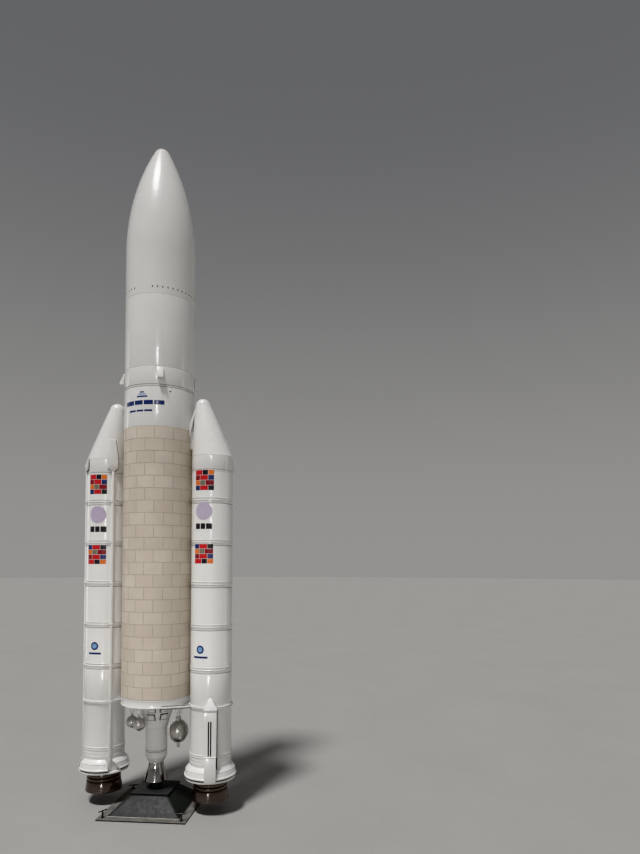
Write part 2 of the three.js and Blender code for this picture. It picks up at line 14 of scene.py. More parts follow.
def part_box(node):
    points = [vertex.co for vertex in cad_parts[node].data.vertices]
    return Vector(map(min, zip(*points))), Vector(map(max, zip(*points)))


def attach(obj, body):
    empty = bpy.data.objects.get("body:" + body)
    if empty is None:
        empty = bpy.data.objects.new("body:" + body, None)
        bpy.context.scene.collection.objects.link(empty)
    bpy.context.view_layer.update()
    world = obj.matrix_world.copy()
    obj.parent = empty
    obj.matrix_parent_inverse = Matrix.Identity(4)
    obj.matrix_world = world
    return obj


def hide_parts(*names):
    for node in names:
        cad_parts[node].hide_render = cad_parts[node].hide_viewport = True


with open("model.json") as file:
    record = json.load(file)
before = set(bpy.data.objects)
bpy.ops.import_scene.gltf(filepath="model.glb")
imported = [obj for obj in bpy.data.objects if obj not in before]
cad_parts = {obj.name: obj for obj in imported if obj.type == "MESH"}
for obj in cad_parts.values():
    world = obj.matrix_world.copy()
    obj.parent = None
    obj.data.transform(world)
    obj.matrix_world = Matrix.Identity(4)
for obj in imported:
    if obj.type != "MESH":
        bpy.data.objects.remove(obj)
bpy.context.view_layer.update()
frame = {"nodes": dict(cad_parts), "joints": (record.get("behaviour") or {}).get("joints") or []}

# Sides of the round pieces
FAIRING_SIDES = 176  # four to each of the 44 vents round the nose
CORE_SIDES = 144
BOOSTER_SIDES = 120
VESSEL_SIDES = 96
BELL_SIDES = 72
SMALL_SIDES = 64
TINY_SIDES = 24

SMOOTH_ANGLE = 32
RIM = 0.0012  # bevel on a drum's rims
LEVEL = 0.99  # z of a normal, past which a face counts as level
NEAR_AXIS = 0.01


def span(cad_node):
    """Lowest and highest z of a CAD node."""
    low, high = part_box(cad_node)
    return low.z, high.z


def radius_of(cad_node):
    low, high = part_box(cad_node)
    return (high.x - low.x) / 2


def on_round(radius, angle, height):
    """A point at a direction round the axis."""
    return (radius * math.cos(math.radians(angle)), radius * math.sin(math.radians(angle)), height)


def about(degrees, axis="Z"):
    """A turn by degrees."""
    return Matrix.Rotation(math.radians(degrees), 4, axis)


CORE_RADIUS = radius_of("upper_stage")
STAGE_RADIUS = radius_of("core_stage")
BOOSTER_RADIUS = radius_of("right_forward_skirt")
BOOSTER_X = sum(corner.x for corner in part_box("right_forward_skirt")) / 2


# Shader nodes
def feed(tree, socket, value):
    """Links a socket to an input, or sets the input to a number or a colour."""
    if isinstance(value, bpy.types.NodeSocket):
        tree.links.new(value, socket)
    else:
        socket.default_value = (*value, 1) if isinstance(value, tuple) else value


def node(tree, kind, **values):
    """A shader node; values are its properties, or what its inputs are fed with."""
    made = tree.nodes.new(kind)
    for key, value in values.items():
        if hasattr(made, key):
            setattr(made, key, value)
        else:
            feed(tree, made.inputs[key], value)
    return made


def math_node(tree, operation, *values):
    made = node(tree, "ShaderNodeMath", operation=operation)
    for socket, value in zip(made.inputs, values):
        feed(tree, socket, value)
    return made.outputs[0]


def mix_colours(tree, factor, first, second):
    made = node(tree, "ShaderNodeMix", data_type="RGBA")
    for index, value in ((0, factor), (6, first), (7, second)):  # 6 and 7 are the sockets for colours
        feed(tree, made.inputs[index], value)
    return made.outputs[2]


def ranged(tree, value, low, high, **values):
    """The value's place between low and high, from 0 to 1 unless the values say otherwise."""
    limits = {"From Min": low, "From Max": high}
    return node(tree, "ShaderNodeMapRange", Value=value, **limits, **values).outputs[0]


def split(tree, vector):
    return node(tree, "ShaderNodeSeparateXYZ", Vector=vector).outputs


def object_place(tree):
    return node(tree, "ShaderNodeTexCoord").outputs["Object"]


def noise(tree, **values):
    return node(tree, "ShaderNodeTexNoise", Vector=object_place(tree), **values).outputs["Fac"]


# Effects that the materials share, as node groups
def new_group(name, inputs, outputs):
    """An empty node group, its sockets with their defaults; a tuple stands for a colour."""
    group = bpy.data.node_groups.new(name, "ShaderNodeTree")
    for way, sockets in (("INPUT", inputs), ("OUTPUT", outputs)):
        for socket_name, default in sockets.items():
            kind = "NodeSocketColor" if isinstance(default, tuple) else "NodeSocketFloat"
            group.interface.new_socket(socket_name, in_out=way, socket_type=kind).default_value = default
    return group, group.nodes.new("NodeGroupInput").outputs, group.nodes.new("NodeGroupOutput").inputs


def speckle_group():
    """Noise: a value between Low and High, and a height for bump."""
    inputs = {"Scale": 100, "Low": 0.2, "High": 0.3}
    group, given, result = new_group("speckle", inputs, {"Value": 0.0, "Height": 0.0})
    grain = noise(group, Detail=3, Roughness=0.55, Scale=given["Scale"])
    limits = {"To Min": given["Low"], "To Max": given["High"]}
    feed(group, result["Value"], ranged(group, grain, 0.3, 0.7, **limits))
    feed(group, result["Height"], grain)
    return group


def overlay_group(name, cover):
    """A second colour laid over the first: the cover gives its mask before the amount counts."""
    inputs = {"Colour": (1, 1, 1, 1), "Over": (0.5, 0.5, 0.5, 1), "Amount": 0.3}
    group, given, result = new_group(name, inputs, {"Colour": (1, 1, 1, 1), "Mask": 0.0})
    mask = math_node(group, "MULTIPLY", cover(group), given["Amount"])
    feed(group, result["Colour"], mix_colours(group, mask, given["Colour"], given["Over"]))
    feed(group, result["Mask"], mask)
    return group


def dust_cover(group):
    """Faces that look up, in a noisy layer."""
    normal = node(group, "ShaderNodeNewGeometry").outputs["Normal"]
    upward = math_node(group, "MAXIMUM", split(group, normal)["Z"], 0.0)
    return math_node(group, "MULTIPLY", upward, noise(group, Scale=14, Detail=6, Roughness=0.65))


def wear_cover(group):
    """Sharp edges, broken up by noise."""
    sharpness = node(group, "ShaderNodeNewGeometry").outputs["Pointiness"]
    edges = ranged(group, sharpness, 0.53, 0.62)
    return math_node(group, "MULTIPLY", edges, noise(group, Scale=60, Detail=5))


GROUPS = {
    "speckle": speckle_group(),
    "dust": overlay_group("settled dust", dust_cover),
    "wear": overlay_group("edge wear", wear_cover),
}


def use(tree, effect, **values):
    """A shared effect placed in a material."""
    return node(tree, "ShaderNodeGroup", node_tree=GROUPS[effect], **values).outputs


def speckle(tree, scale, low, high):
    return use(tree, "speckle", Scale=scale, Low=low, High=high)["Value"]


def two_tones(tree, scale, first, second):
    """Two colours in soft patches."""
    return mix_colours(tree, speckle(tree, scale, 0.0, 1.0), first, second)


def new_material(name):
    material = bpy.data.materials.new(name)
    material.use_nodes = True
    return material, material.node_tree, material.node_tree.nodes["Principled BSDF"].inputs


def add_bump(tree, shader, scale, strength, depth):
    height = use(tree, "speckle", Scale=scale)["Height"]
    bump = node(tree, "ShaderNodeBump", Strength=strength, Distance=depth, Height=height)
    feed(tree, shader["Normal"], bump.outputs["Normal"])


# Each paint: base colour, second tone, roughness low and high, metallic, coat, dust and edge wear
PAINTS = {
    "gloss white": ((0.80, 0.79, 0.77), (0.77, 0.757, 0.735), (0.18, 0.26), 0.0, 0.5, 0.20, 0.05),
    # Panel gap: the dark of real joints, and also painted shade in recesses and in dark strips laid where
    # shadow falls
    "panel gap and painted shade": ((0.10, 0.09, 0.083), (0.06, 0.056, 0.052), (0.6, 0.8), 0.0, 0.0, 0.1, 0.0),
    # Painted shade: near-black for the insides of slots and the port, the nozzle's grooves, and dark sheets
    # laid where shadow falls
    "slot black": ((0.012, 0.012, 0.012), (0.02, 0.019, 0.018), (0.5, 0.7), 0.0, 0.0, 0.0, 0.0),
    "stand black": ((0.014, 0.0165, 0.0165), (0.021, 0.0235, 0.0225), (0.50, 0.64), 0.0, 0.0, 0.06, 0.12),
    # The base plate's high dust amount paints its top lighter: settled dust and a painted sheen both
    "plate black": ((0.015, 0.015, 0.015), (0.024, 0.023, 0.022), (0.36, 0.50), 0.0, 0.0, 0.70, 0.15),
    "weld grey": ((0.36, 0.345, 0.32), (0.24, 0.23, 0.215), (0.35, 0.50), 0.6, 0.0, 0.2, 0.3),
    "screw black": ((0.014, 0.014, 0.015), (0.025, 0.024, 0.023), (0.30, 0.44), 0.3, 0.0, 0.1, 0.5),
    "bronze black": ((0.175, 0.150, 0.143), (0.130, 0.110, 0.105), (0.13, 0.20), 0.85, 0.4, 0.03, 0.08),
    "bell metal": ((0.42, 0.405, 0.40), (0.27, 0.26, 0.258), (0.10, 0.18), 1.0, 0.0, 0.05, 0.2),
    "tank metal": ((0.62, 0.60, 0.575), (0.50, 0.485, 0.465), (0.24, 0.36), 0.95, 0.0, 0.1, 0.3),
    "hanger metal": ((0.74, 0.71, 0.68), (0.60, 0.575, 0.55), (0.26, 0.40), 0.9, 0.0, 0.1, 0.2),
}
# The marks' paints: base colour and second tone; the rest is the same in all of them
MARK_FINISH = ((0.25, 0.33), 0.0, 0.2, 0.1, 0.0)
MARK_TONES = {
    "mark red": ((0.62, 0.035, 0.04), (0.52, 0.03, 0.035)),
    "mark wine": ((0.27, 0.02, 0.03), (0.22, 0.018, 0.025)),
    "mark orange": ((0.78, 0.19, 0.035), (0.70, 0.16, 0.03)),
    "mark black": ((0.028, 0.025, 0.03), (0.04, 0.036, 0.042)),
    "mark navy": ((0.03, 0.045, 0.16), (0.025, 0.038, 0.13)),
    "mark olive": ((0.23, 0.21, 0.14), (0.19, 0.175, 0.12)),
    "mark mauve": ((0.56, 0.49, 0.61), (0.51, 0.44, 0.56)),
    "mark sky": ((0.25, 0.42, 0.66), (0.21, 0.37, 0.60)),
}
PAINTS.update((name, (*tones, *MARK_FINISH)) for name, tones in MARK_TONES.items())

TONE_SCALE = 5.0  # patches of tone about 20 cm across
GLOSS_SCALE = 45.0
PEEL = (330.0, 0.09, 0.0003)  # ripples of sprayed paint: scale, strength and depth
COAT_ROUGHNESS = 0.08
DUST = (0.44, 0.41, 0.37)
BARE_METAL = (0.42, 0.42, 0.42)


def paint(name):
    """One of the paints, made the first time that it is asked for."""
    if name in bpy.data.materials:
        return bpy.data.materials[name]
    base, second, (smooth_low, dull), metallic, coat, dust, wear = PAINTS[name]
    material, tree, shader = new_material(name)
    mixed = two_tones(tree, TONE_SCALE, base, second)
    worn = use(tree, "wear", Colour=mixed, Over=BARE_METAL, Amount=wear)
    dusty = use(tree, "dust", Colour=worn["Colour"], Over=DUST, Amount=dust)
    feed(tree, shader["Base Color"], dusty["Colour"])
    gloss = speckle(tree, GLOSS_SCALE, smooth_low, dull)
    feed(tree, shader["Roughness"], math_node(tree, "ADD", gloss, dusty["Mask"]))
    add_bump(tree, shader, *PEEL)
    shader["Metallic"].default_value = metallic
    shader["Coat Weight"].default_value = coat
    shader["Coat Roughness"].default_value = COAT_ROUGHNESS
    return material


def plain_material(name, scale, first, second, gloss_scale, smooth_low, dull):
    """Two tones in patches, with an uneven gloss."""
    material, tree, shader = new_material(name)
    feed(tree, shader["Base Color"], two_tones(tree, scale, first, second))
    feed(tree, shader["Roughness"], speckle(tree, gloss_scale, smooth_low, dull))
    return material


# Tiles round the core stage
TILE_ROWS = 22
TILES_ROUND = 12
TILE_JOINT_ODD = -71  # degrees, a vertical joint in the top row and in every second row below it
JOINT = {"half": 0.0008, "depth": 0.0008, "chamfer": 0.0007}
TILE_TONES = ((0.62, 0.545, 0.455), (0.70, 0.63, 0.54))
TILE_PATCHES = (9.0, 0.0, 0.5)  # scale of the patches on the tiles, and how much they cover
TILE_PATCH = (0.56, 0.48, 0.40)
TILE_DUST = 0.4
TILE_GLOSS = (60.0, 0.5, 0.68)  # scale of the noise, roughness low and high
TILE_GRAIN = (260.0, 0.5, 0.0007)  # scale, strength and depth
# The joints' filler: scale of its patches, two tones, scale of its gloss, roughness low and high
FILLER = (40.0, (0.47, 0.40, 0.33), (0.38, 0.32, 0.26), 60.0, 0.7, 0.85)


def tile_material():
    """Matt cream coat, a slightly different tone on each tile."""
    material, tree, shader = new_material("stage cream")
    low, high = span("core_stage")
    axes = split(tree, object_place(tree))
    down = math_node(tree, "SUBTRACT", high, axes["Z"])
    row = math_node(tree, "FLOOR", math_node(tree, "DIVIDE", down, (high - low) / TILE_ROWS))
    stagger = math_node(tree, "MULTIPLY", math_node(tree, "MODULO", row, 2.0), 0.5)
    around = math_node(tree, "ARCTAN2", axes["Y"], axes["X"])
    turns = math_node(tree, "MULTIPLY", around, TILES_ROUND / (2 * math.pi))
    first = math_node(tree, "SUBTRACT", turns, TILE_JOINT_ODD * TILES_ROUND / 360)
    column = math_node(tree, "FLOOR", math_node(tree, "SUBTRACT", first, stagger))
    wrapped = math_node(tree, "WRAP", column, float(TILES_ROUND), 0.0)
    cell = node(tree, "ShaderNodeCombineXYZ", X=wrapped, Y=row).outputs[0]
    chance = node(tree, "ShaderNodeTexWhiteNoise", noise_dimensions="2D", Vector=cell).outputs["Value"]
    tile = mix_colours(tree, chance, *TILE_TONES)
    mixed = mix_colours(tree, speckle(tree, *TILE_PATCHES), tile, TILE_PATCH)
    feed(tree, shader["Base Color"], use(tree, "dust", Colour=mixed, Over=DUST, Amount=TILE_DUST)["Colour"])
    feed(tree, shader["Roughness"], speckle(tree, *TILE_GLOSS))
    add_bump(tree, shader, *TILE_GRAIN)
    return material


# Modelling
def deselect():
    if bpy.context.object and bpy.context.object.mode != "OBJECT":
        bpy.ops.object.mode_set(mode="OBJECT")
    bpy.ops.object.select_all(action="DESELECT")


def only(piece):
    """Makes piece the one selected and active object."""
    deselect()
    piece.select_set(True)
    bpy.context.view_layer.objects.active = piece


def leave():
    bpy.ops.object.mode_set(mode="OBJECT")


def pick(kind):
    """Enters edit mode, picking points, edges or faces."""
    kinds = ("VERT", "EDGE", "FACE")
    bpy.context.tool_settings.mesh_select_mode = [kind == one for one in kinds]
    bpy.ops.object.mode_set(mode="EDIT")


def edit_all(piece, kind="FACE"):
    """Enters edit mode with everything selected."""
    only(piece)
    pick(kind)
    bpy.ops.mesh.select_all(action="SELECT")


def choose(piece, kind, wanted):
    """Enters edit mode with the wanted faces selected, by middle and normal, or edges, by their ends."""
    only(piece)
    mesh = piece.data
    if kind == "FACE":
        parts, chosen = mesh.polygons, [wanted(face.center, face.normal) for face in mesh.polygons]
    else:
        ends = [[mesh.vertices[index].co for index in edge.vertices] for edge in mesh.edges]
        parts, chosen = mesh.edges, [wanted(*pair) for pair in ends]
    for every in (mesh.vertices, mesh.edges, mesh.polygons):
        every.foreach_set("select", [False] * len(every))
    parts.foreach_set("select", [bool(one) for one in chosen])
    pick(kind)


def settle(piece):
    """Puts the object's place, turn and size into its mesh."""
    only(piece)
    bpy.ops.object.transform_apply(location=True, rotation=True, scale=True)
    return piece


def placed(piece, matrix):
    piece.matrix_world = matrix
    return settle(piece)


def named(piece, name):
    piece.name = name
    piece.data.name = name
    return piece


def duplicate(piece):
    only(piece)
    bpy.ops.object.duplicate()
    return bpy.context.object


def smooth(piece, angle=SMOOTH_ANGLE):
    only(piece)
    bpy.ops.object.shade_smooth_by_angle(angle=math.radians(angle))
    return piece


def tidy_mesh():
    """In edit mode: one closed skin, facing out."""
    bpy.ops.mesh.select_all(action="SELECT")
    bpy.ops.mesh.remove_doubles(threshold=0.000005)
    bpy.ops.mesh.normals_make_consistent(inside=False)


def apply(piece, name, kind, **values):
    """A modifier on the piece, applied."""
    only(piece)
    modifier = piece.modifiers.new(name, kind)
    for key, value in values.items():
        setattr(modifier, key, value)
    bpy.ops.object.modifier_apply(modifier=modifier.name)
    return piece


def bevelled(piece, width, segments=2, angle=30):
    """The piece with its sharp edges bevelled, and smooth."""
    limit = {"limit_method": "ANGLE", "angle_limit": math.radians(angle), "harden_normals": False}
    return smooth(apply(piece, "bevel", "BEVEL", width=width, segments=segments, **limit))


def joined(name, pieces):
    """Several meshes as one, under a new name."""
    deselect()
    for piece in pieces:
        piece.select_set(True)
    bpy.context.view_layer.objects.active = pieces[0]
    bpy.ops.object.join()
    return named(bpy.context.object, name)


def coloured(piece, *names):
    """The piece's paints, the first one on every face that has no other."""
    piece.data.materials.clear()
    for name in names:
        piece.data.materials.append(paint(name))
    return piece


def darken(piece, reach, low, high):
    """Gives the second paint to the faces that lie deeper than reach, between two heights."""
    for face in piece.data.polygons:
        middle = face.center
        deep = NEAR_AXIS < math.hypot(middle.x, middle.y) < reach
        if deep and low < middle.z < high and abs(face.normal.z) < LEVEL:
            face.material_index = 1
    return piece


def finished(piece, *nodes, body="root"):
    """The piece rides on its body and stands for its CAD nodes."""
    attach(piece, body)
    if nodes:
        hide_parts(*nodes)


def dressed(piece, colour, *nodes):
    finished(coloured(piece, colour), *nodes)


CURVE_STEPS = 2


def eased(outline, reach):
    """The outline with each inner corner turned into a short curve."""
    def toward(corner, other):
        apart = math.dist(corner, other)
        share = min(reach, apart / 2) / apart
        return [c + (o - c) * share for c, o in zip(corner, other)]

    points = [outline[0]]
    for before, corner, after in zip(outline, outline[1:], outline[2:]):
        bend = (toward(corner, before), corner, toward(corner, after))
        for step in range(CURVE_STEPS + 1):
            t = step / CURVE_STEPS
            weights = ((1 - t) ** 2, 2 * t * (1 - t), t ** 2)
            points.append([sum(w * p[i] for w, p in zip(weights, bend)) for i in (0, 1)])
    points.append(outline[-1])
    return points


def chain(name, points):
    """An open line through the points, drawn point by point; left in edit mode, all selected."""
    deselect()
    bpy.ops.mesh.primitive_plane_add(size=0.01, location=points[0])
    line = named(settle(bpy.context.object), name)
    edit_all(line, "VERT")
    bpy.ops.mesh.merge(type="CENTER")
    for start, end in zip(points, points[1:]):
        step = Vector(end) - Vector(start)
        bpy.ops.mesh.extrude_vertices_move(TRANSFORM_OT_translate={"value": step})
    bpy.ops.mesh.select_all(action="SELECT")
    return line


def spun(line, steps, angle):
    """In edit mode: the line turned round the axis into a closed skin."""
    bpy.ops.mesh.spin(steps=steps, angle=angle, center=(0, 0, 0), axis=(0, 0, 1))
    tidy_mesh()
    leave()
    return smooth(line)


def turned(name, outline, sides, ease=0.0):
    """A closed body of revolution about +Z, from (radius, height) rows that start and end on the axis."""
    rows = eased(outline, ease) if ease else outline
    line = chain(name, [(radius, 0, height) for radius, height in rows])
    return spun(line, sides, 2 * math.pi)


def swept(name, outline, start, end, steps, ease=0.0):
    """Part of a body of revolution: a closed (radius, height) outline turned from one angle to another."""
    rows = eased(outline + outline[:2], ease)[1:-1] if ease else outline
    line = chain(name, [on_round(radius, start, height) for radius, height in rows])
    bpy.ops.mesh.edge_face_add()
    return spun(line, steps, math.radians(start - end))


def foot_rows(radius, low, edge):
    """Rows of an outline from the axis out to a bevelled lower rim."""
    return [(0, low), (radius - edge, low), (radius, low + edge)]


def head_rows(radius, high, edge):
    """Rows of an outline over a bevelled upper rim to the axis."""
    return [(radius, high - edge), (radius - edge, high), (0, high)]


def band(radius, height, proud, foot, crown):
    """Rows of an outline for a band round a drum, or a groove where proud is negative."""
    deep = radius + proud
    return [(radius, height - foot), (deep, height - crown), (deep, height + crown), (radius, height + foot)]


GROOVE = 0.0012  # depth of a line turned into a drum
GROOVE_FLOOR = 0.6  # the floor's share of a groove's width
GROOVE_REACH = 0.002  # how far above and below its middle a groove's faces are looked for


def groove(radius, height, half=0.0015):
    return band(radius, height, -GROOVE, half, half * GROOVE_FLOOR)


def drum(name, bottom, top, radius, grooves, sides):
    """A cylinder with eased rims and dark grooves at the given heights."""
    rows = foot_rows(radius, bottom, RIM)
    for height in grooves:
        rows += groove(radius, height)
    rows += head_rows(radius, top, RIM)
    body = coloured(turned(name, rows, sides, 0.0005), "gloss white", "panel gap and painted shade")
    for height in grooves:
        darken(body, radius - GROOVE / 2, height - GROOVE_REACH, height + GROOVE_REACH)
    return body


def block(name, size, middle, turn=0.0):
    """A box at its size and place, turned about +Z by degrees."""
    deselect()
    bpy.ops.mesh.primitive_cube_add(size=1, location=middle, rotation=(0, 0, math.radians(turn)))
    body = named(bpy.context.object, name)
    body.scale = size
    return settle(body)


def cylinder(sides, radius, depth, **values):
    deselect()
    bpy.ops.mesh.primitive_cylinder_add(vertices=sides, radius=radius, depth=depth, **values)
    return bpy.context.object


def rod(name, start, end, radius, sides=TINY_SIDES):
    """A straight round bar between two points, its ends eased."""
    start, end = Vector(start), Vector(end)
    bar = named(cylinder(sides, radius, (end - start).length), name)
    bar.rotation_euler = (end - start).to_track_quat("Z", "Y").to_euler()
    bar.location = (start + end) / 2
    return bevelled(settle(bar), radius * 0.2)


def copied(name, cad_node):
    """A CAD node's own shape as a clean mesh."""
    body = duplicate(frame["nodes"][cad_node])
    body.parent = None
    for key in list(body.keys()):
        del body[key]
    edit_all(named(body, name))
    bpy.ops.mesh.remove_doubles(threshold=0.00002)
    bpy.ops.mesh.dissolve_limited(angle_limit=math.radians(1.5))
    leave()
    return body


def refined(name, cad_node, bevel, segments=2):
    """A CAD node's own shape with eased edges."""
    return bevelled(copied(name, cad_node), bevel, segments)


def trimmed(piece, corners, keep):
    """Cuts the piece by the plane through three corners and closes the cut; keep is a point that stays."""
    start, *others = (Vector(corner) for corner in corners)
    away = (others[0] - start).cross(others[1] - start).normalized()
    if (Vector(keep) - start).dot(away) > 0:
        away.negate()
    edit_all(piece)
    bpy.ops.mesh.bisect(plane_co=start, plane_no=away, use_fill=True, clear_outer=True)
    bpy.ops.mesh.select_all(action="SELECT")
    bpy.ops.mesh.normals_make_consistent(inside=False)
    leave()
    return piece


# Camera, at the photograph's place and viewing angle
CAMERA_AT = (1.851, -3.653, 1.526)
CAMERA_HEADING = (-0.2144, 0.9767)
CAMERA_RISE = 1.582
CAMERA_ROLL = 0.172
CAMERA_LENS = 26.36
CAMERA_SENSOR = 36
CAMERA_SHIFT = 0.138


def make_camera():
    camera = bpy.data.cameras.new("camera")
    camera.lens = CAMERA_LENS
    camera.sensor_width = CAMERA_SENSOR
    camera.sensor_fit = "AUTO"
    camera.shift_y = CAMERA_SHIFT
    eye = bpy.data.objects.new("camera", camera)
    bpy.context.scene.collection.objects.link(eye)
    rise = math.radians(CAMERA_RISE)
    forward = Vector((*CAMERA_HEADING, 0)).normalized() * math.cos(rise)
    forward.z = math.sin(rise)
    level = forward.to_track_quat("-Z", "Y").to_matrix().to_4x4()
    eye.matrix_world = Matrix.Translation(CAMERA_AT) @ level @ about(CAMERA_ROLL)
    bpy.context.scene.camera = eye


# Floor and lights
FLOOR_RADIUS = 60
# The floor's finish: scale of its patches, two tones, scale of its gloss, roughness low and high
FLOOR_FINISH = (1.2, (0.40, 0.39, 0.372), (0.38, 0.371, 0.356), 25.0, 0.5, 0.65)
# The soft key light, steep from the front: the way to it, its strength and its spread in degrees
KEY = {"from": (-0.105, -0.375, 0.921), "strength": 2.7, "spread": 8}
# Tall soft boxes that draw the streaks on the gloss: place, width, height, power, the height they face
# and their spread in degrees, narrow so that they draw no patches of light on the floor
BOXES = (
    ("left box", (-4.5, 0.6, 2.7), 0.7, 3.8, 1.1, 2.6, 40),
    ("right box", (4.6, 1.2, 2.7), 0.4, 3.8, 0.6, 2.6, 40),
    ("front box", (1.95, -6.1, 3.9), 0.55, 0.75, 1.6, 2.5, 46),
    ("high box", (3.6, -3.7, 4.7), 0.26, 0.8, 0.3, 0.3, 60),
    ("low box", (1.2, -5.8, 0.70), 0.6, 0.8, 1.1, 1.0, 26),
)
SKY_HORIZON = (0.33, 0.324, 0.314)
SKY_ABOVE = (0.165, 0.167, 0.173)
SKY_CLIMB = 0.65  # how far up the sky takes its upper colour, of 1 overhead


def make_floor():
    deselect()
    bpy.ops.mesh.primitive_circle_add(vertices=128, radius=FLOOR_RADIUS, fill_type="NGON")
    floor = bpy.context.object
    floor.name = "floor"
    floor.data.materials.append(plain_material("pale floor", *FLOOR_FINISH))


def add_lamp(name, light, place, toward):
    lamp = bpy.data.objects.new(name, light)
    lamp.location = place
    lamp.rotation_euler = (Vector(toward) - Vector(place)).to_track_quat("-Z", "Y").to_euler()
    bpy.context.scene.collection.objects.link(lamp)


def make_lights():
    key = bpy.data.lights.new("key", "SUN")
    key.energy = KEY["strength"]
    key.angle = math.radians(KEY["spread"])
    add_lamp("key", key, KEY["from"], (0, 0, 0))
    for name, place, across, up, power, aim, spread in BOXES:
        light = bpy.data.lights.new(name, "AREA")
        light.shape = "RECTANGLE"
        light.size = across
        light.size_y = up
        light.spread = math.radians(spread)
        light.energy = power
        add_lamp(name, light, place, (0, 0, aim))

    world = bpy.data.worlds.new("studio")
    world.use_nodes = True
    tree = world.node_tree
    upward = split(tree, node(tree, "ShaderNodeTexCoord").outputs["Generated"])["Z"]
    climb = ranged(tree, upward, 0.0, SKY_CLIMB, interpolation_type="SMOOTHSTEP")
    feed(tree, tree.nodes["Background"].inputs["Color"], mix_colours(tree, climb, SKY_HORIZON, SKY_ABOVE))
    bpy.context.scene.world = world
    bpy.context.scene.view_settings.view_transform = "Khronos PBR Neutral"


# Stand: how far it is turned, and the pyramid's half widths and rounded edges
STAND_TURN = 7.4
PYRAMID = {"foot_half": 0.221, "top_half": 0.112, "arris": 0.012}
# Weld beads round the pyramid's foot and top: how far out of its edge and above it, and their radius
FOOT_WELD = {"out": 0.0005, "up": 0.0, "radius": 0.0028}
CAP_WELD = {"out": -0.001, "up": -0.001, "radius": 0.0025}
COLUMN_WELD = ((0.006, 0.0), (0.003, 0.003), (0.0, 0.007))  # out from the column, up from its foot


def weld_bead(name, half, height, weld):
    """A bead of weld round a square edge of the pyramid."""
    deselect()
    middle, turn = (0, 0, height + weld["up"]), (0, 0, math.radians(STAND_TURN))
    bpy.ops.mesh.primitive_plane_add(size=2 * (half + weld["out"]), location=middle, rotation=turn)
    line = settle(bpy.context.object)
    edit_all(line)
    bpy.ops.mesh.delete(type="ONLY_FACE")
    bpy.ops.mesh.select_all(action="SELECT")
    bpy.ops.mesh.subdivide(number_cuts=60)
    leave()
    bpy.ops.object.convert(target="CURVE")
    line.data.bevel_depth = weld["radius"]
    line.data.bevel_resolution = 3
    bpy.ops.object.convert(target="MESH")
    line = named(bpy.context.object, name)
    edit_all(line)
    tidy_mesh()
    leave()
    return smooth(line)


def make_stand():
    dressed(refined("base_plate_steel", "base_plate", 0.0012), "plate black", "base_plate")

    foot, top = span("stand_pyramid")
    foot_half, top_half = PYRAMID["foot_half"], PYRAMID["top_half"]
    size = (2 * foot_half, 2 * foot_half, top - foot)
    pyramid = block("pyramid_sheet", size, (0, 0, (foot + top) / 2), STAND_TURN)
    choose(pyramid, "FACE", lambda middle, normal: normal.z > 0.5)
    shrink = top_half / foot_half
    bpy.ops.transform.resize(value=(shrink, shrink, 1), center_override=(0, 0, top))
    choose(pyramid, "EDGE", lambda a, b: abs(a.z - b.z) > 0.01)
    bpy.ops.mesh.bevel(offset=PYRAMID["arris"], segments=5, profile=0.5)
    leave()
    dressed(bevelled(pyramid, 0.001), "stand black", "stand_pyramid")

    dressed(weld_bead("foot_weld", foot_half, foot, FOOT_WELD), "weld grey")
    dressed(refined("stand_cap_plate", "stand_top_plate", 0.0012), "stand black", "stand_top_plate")
    dressed(weld_bead("cap_weld", top_half, top, CAP_WELD), "stand black")

    bottom, ceiling = span("stand_column")
    radius = radius_of("stand_column")
    rows = [(0, bottom)] + [(radius + out, bottom + up) for out, up in COLUMN_WELD]
    rows += head_rows(radius, ceiling, 0.002)
    dressed(turned("stand_column_tube", rows, SMALL_SIDES, 0.002), "stand black", "stand_column")


# Levelling screws: the bars' directions in the stand's frame, and the screw's own measures
SCREW_BARS = {"screw_1": 62, "screw_2": 8, "screw_3": 35, "screw_4": 20}
SCREW_STEM = 0.0045
SCREW_FOOT = {"height": 0.0005, "edge": 0.001}
SCREW_BAR = {"radius": 0.0035, "length": 0.057}
SCREW_NUT = {"across": 0.009, "low": 0.0083, "high": 0.0150}
THREAD = {"pitch": 0.0015, "depth": 0.0006, "plain": 0.012}  # plain: the length under the bar without thread


def levelling_screw(name, top):
    """One screw about the origin's axis, its bar along X and topmost at the given height."""
    bar_height = top - SCREW_BAR["radius"]
    root = SCREW_STEM - THREAD["depth"]
    height, edge = SCREW_FOOT["height"], SCREW_FOOT["edge"]
    rows = [(0, height), (SCREW_STEM - edge, height)]
    height += edge
    while height < bar_height - THREAD["plain"]:
        rows += [(root, height), (SCREW_STEM, height + THREAD["pitch"] / 2)]
        height += THREAD["pitch"]
    rows += [(root, height), (SCREW_STEM, height + 0.001), (SCREW_STEM, bar_height), (0, bar_height)]
    stem = turned("stem", rows, TINY_SIDES)
    low, high = SCREW_NUT["low"], SCREW_NUT["high"]
    nut = settle(cylinder(6, SCREW_NUT["across"], high - low, location=(0, 0, (high + low) / 2)))
    half = SCREW_BAR["length"] / 2
    bar = rod("bar", (-half, 0, bar_height), (half, 0, bar_height), SCREW_BAR["radius"])
    return coloured(joined(name, [stem, bevelled(nut, 0.0008), bar]), "screw black")


def make_screws():
    for joint in frame["joints"]:
        body = joint["child"]
        screw = levelling_screw(f"{body}_handle", span(f"levelling_{body}")[1])
        x, y, _ = joint["pos_m"]
        placed(screw, Matrix.Translation((x, y, 0)) @ about(SCREW_BARS[body] + STAND_TURN))
        finished(screw, f"levelling_{body}", body=body)


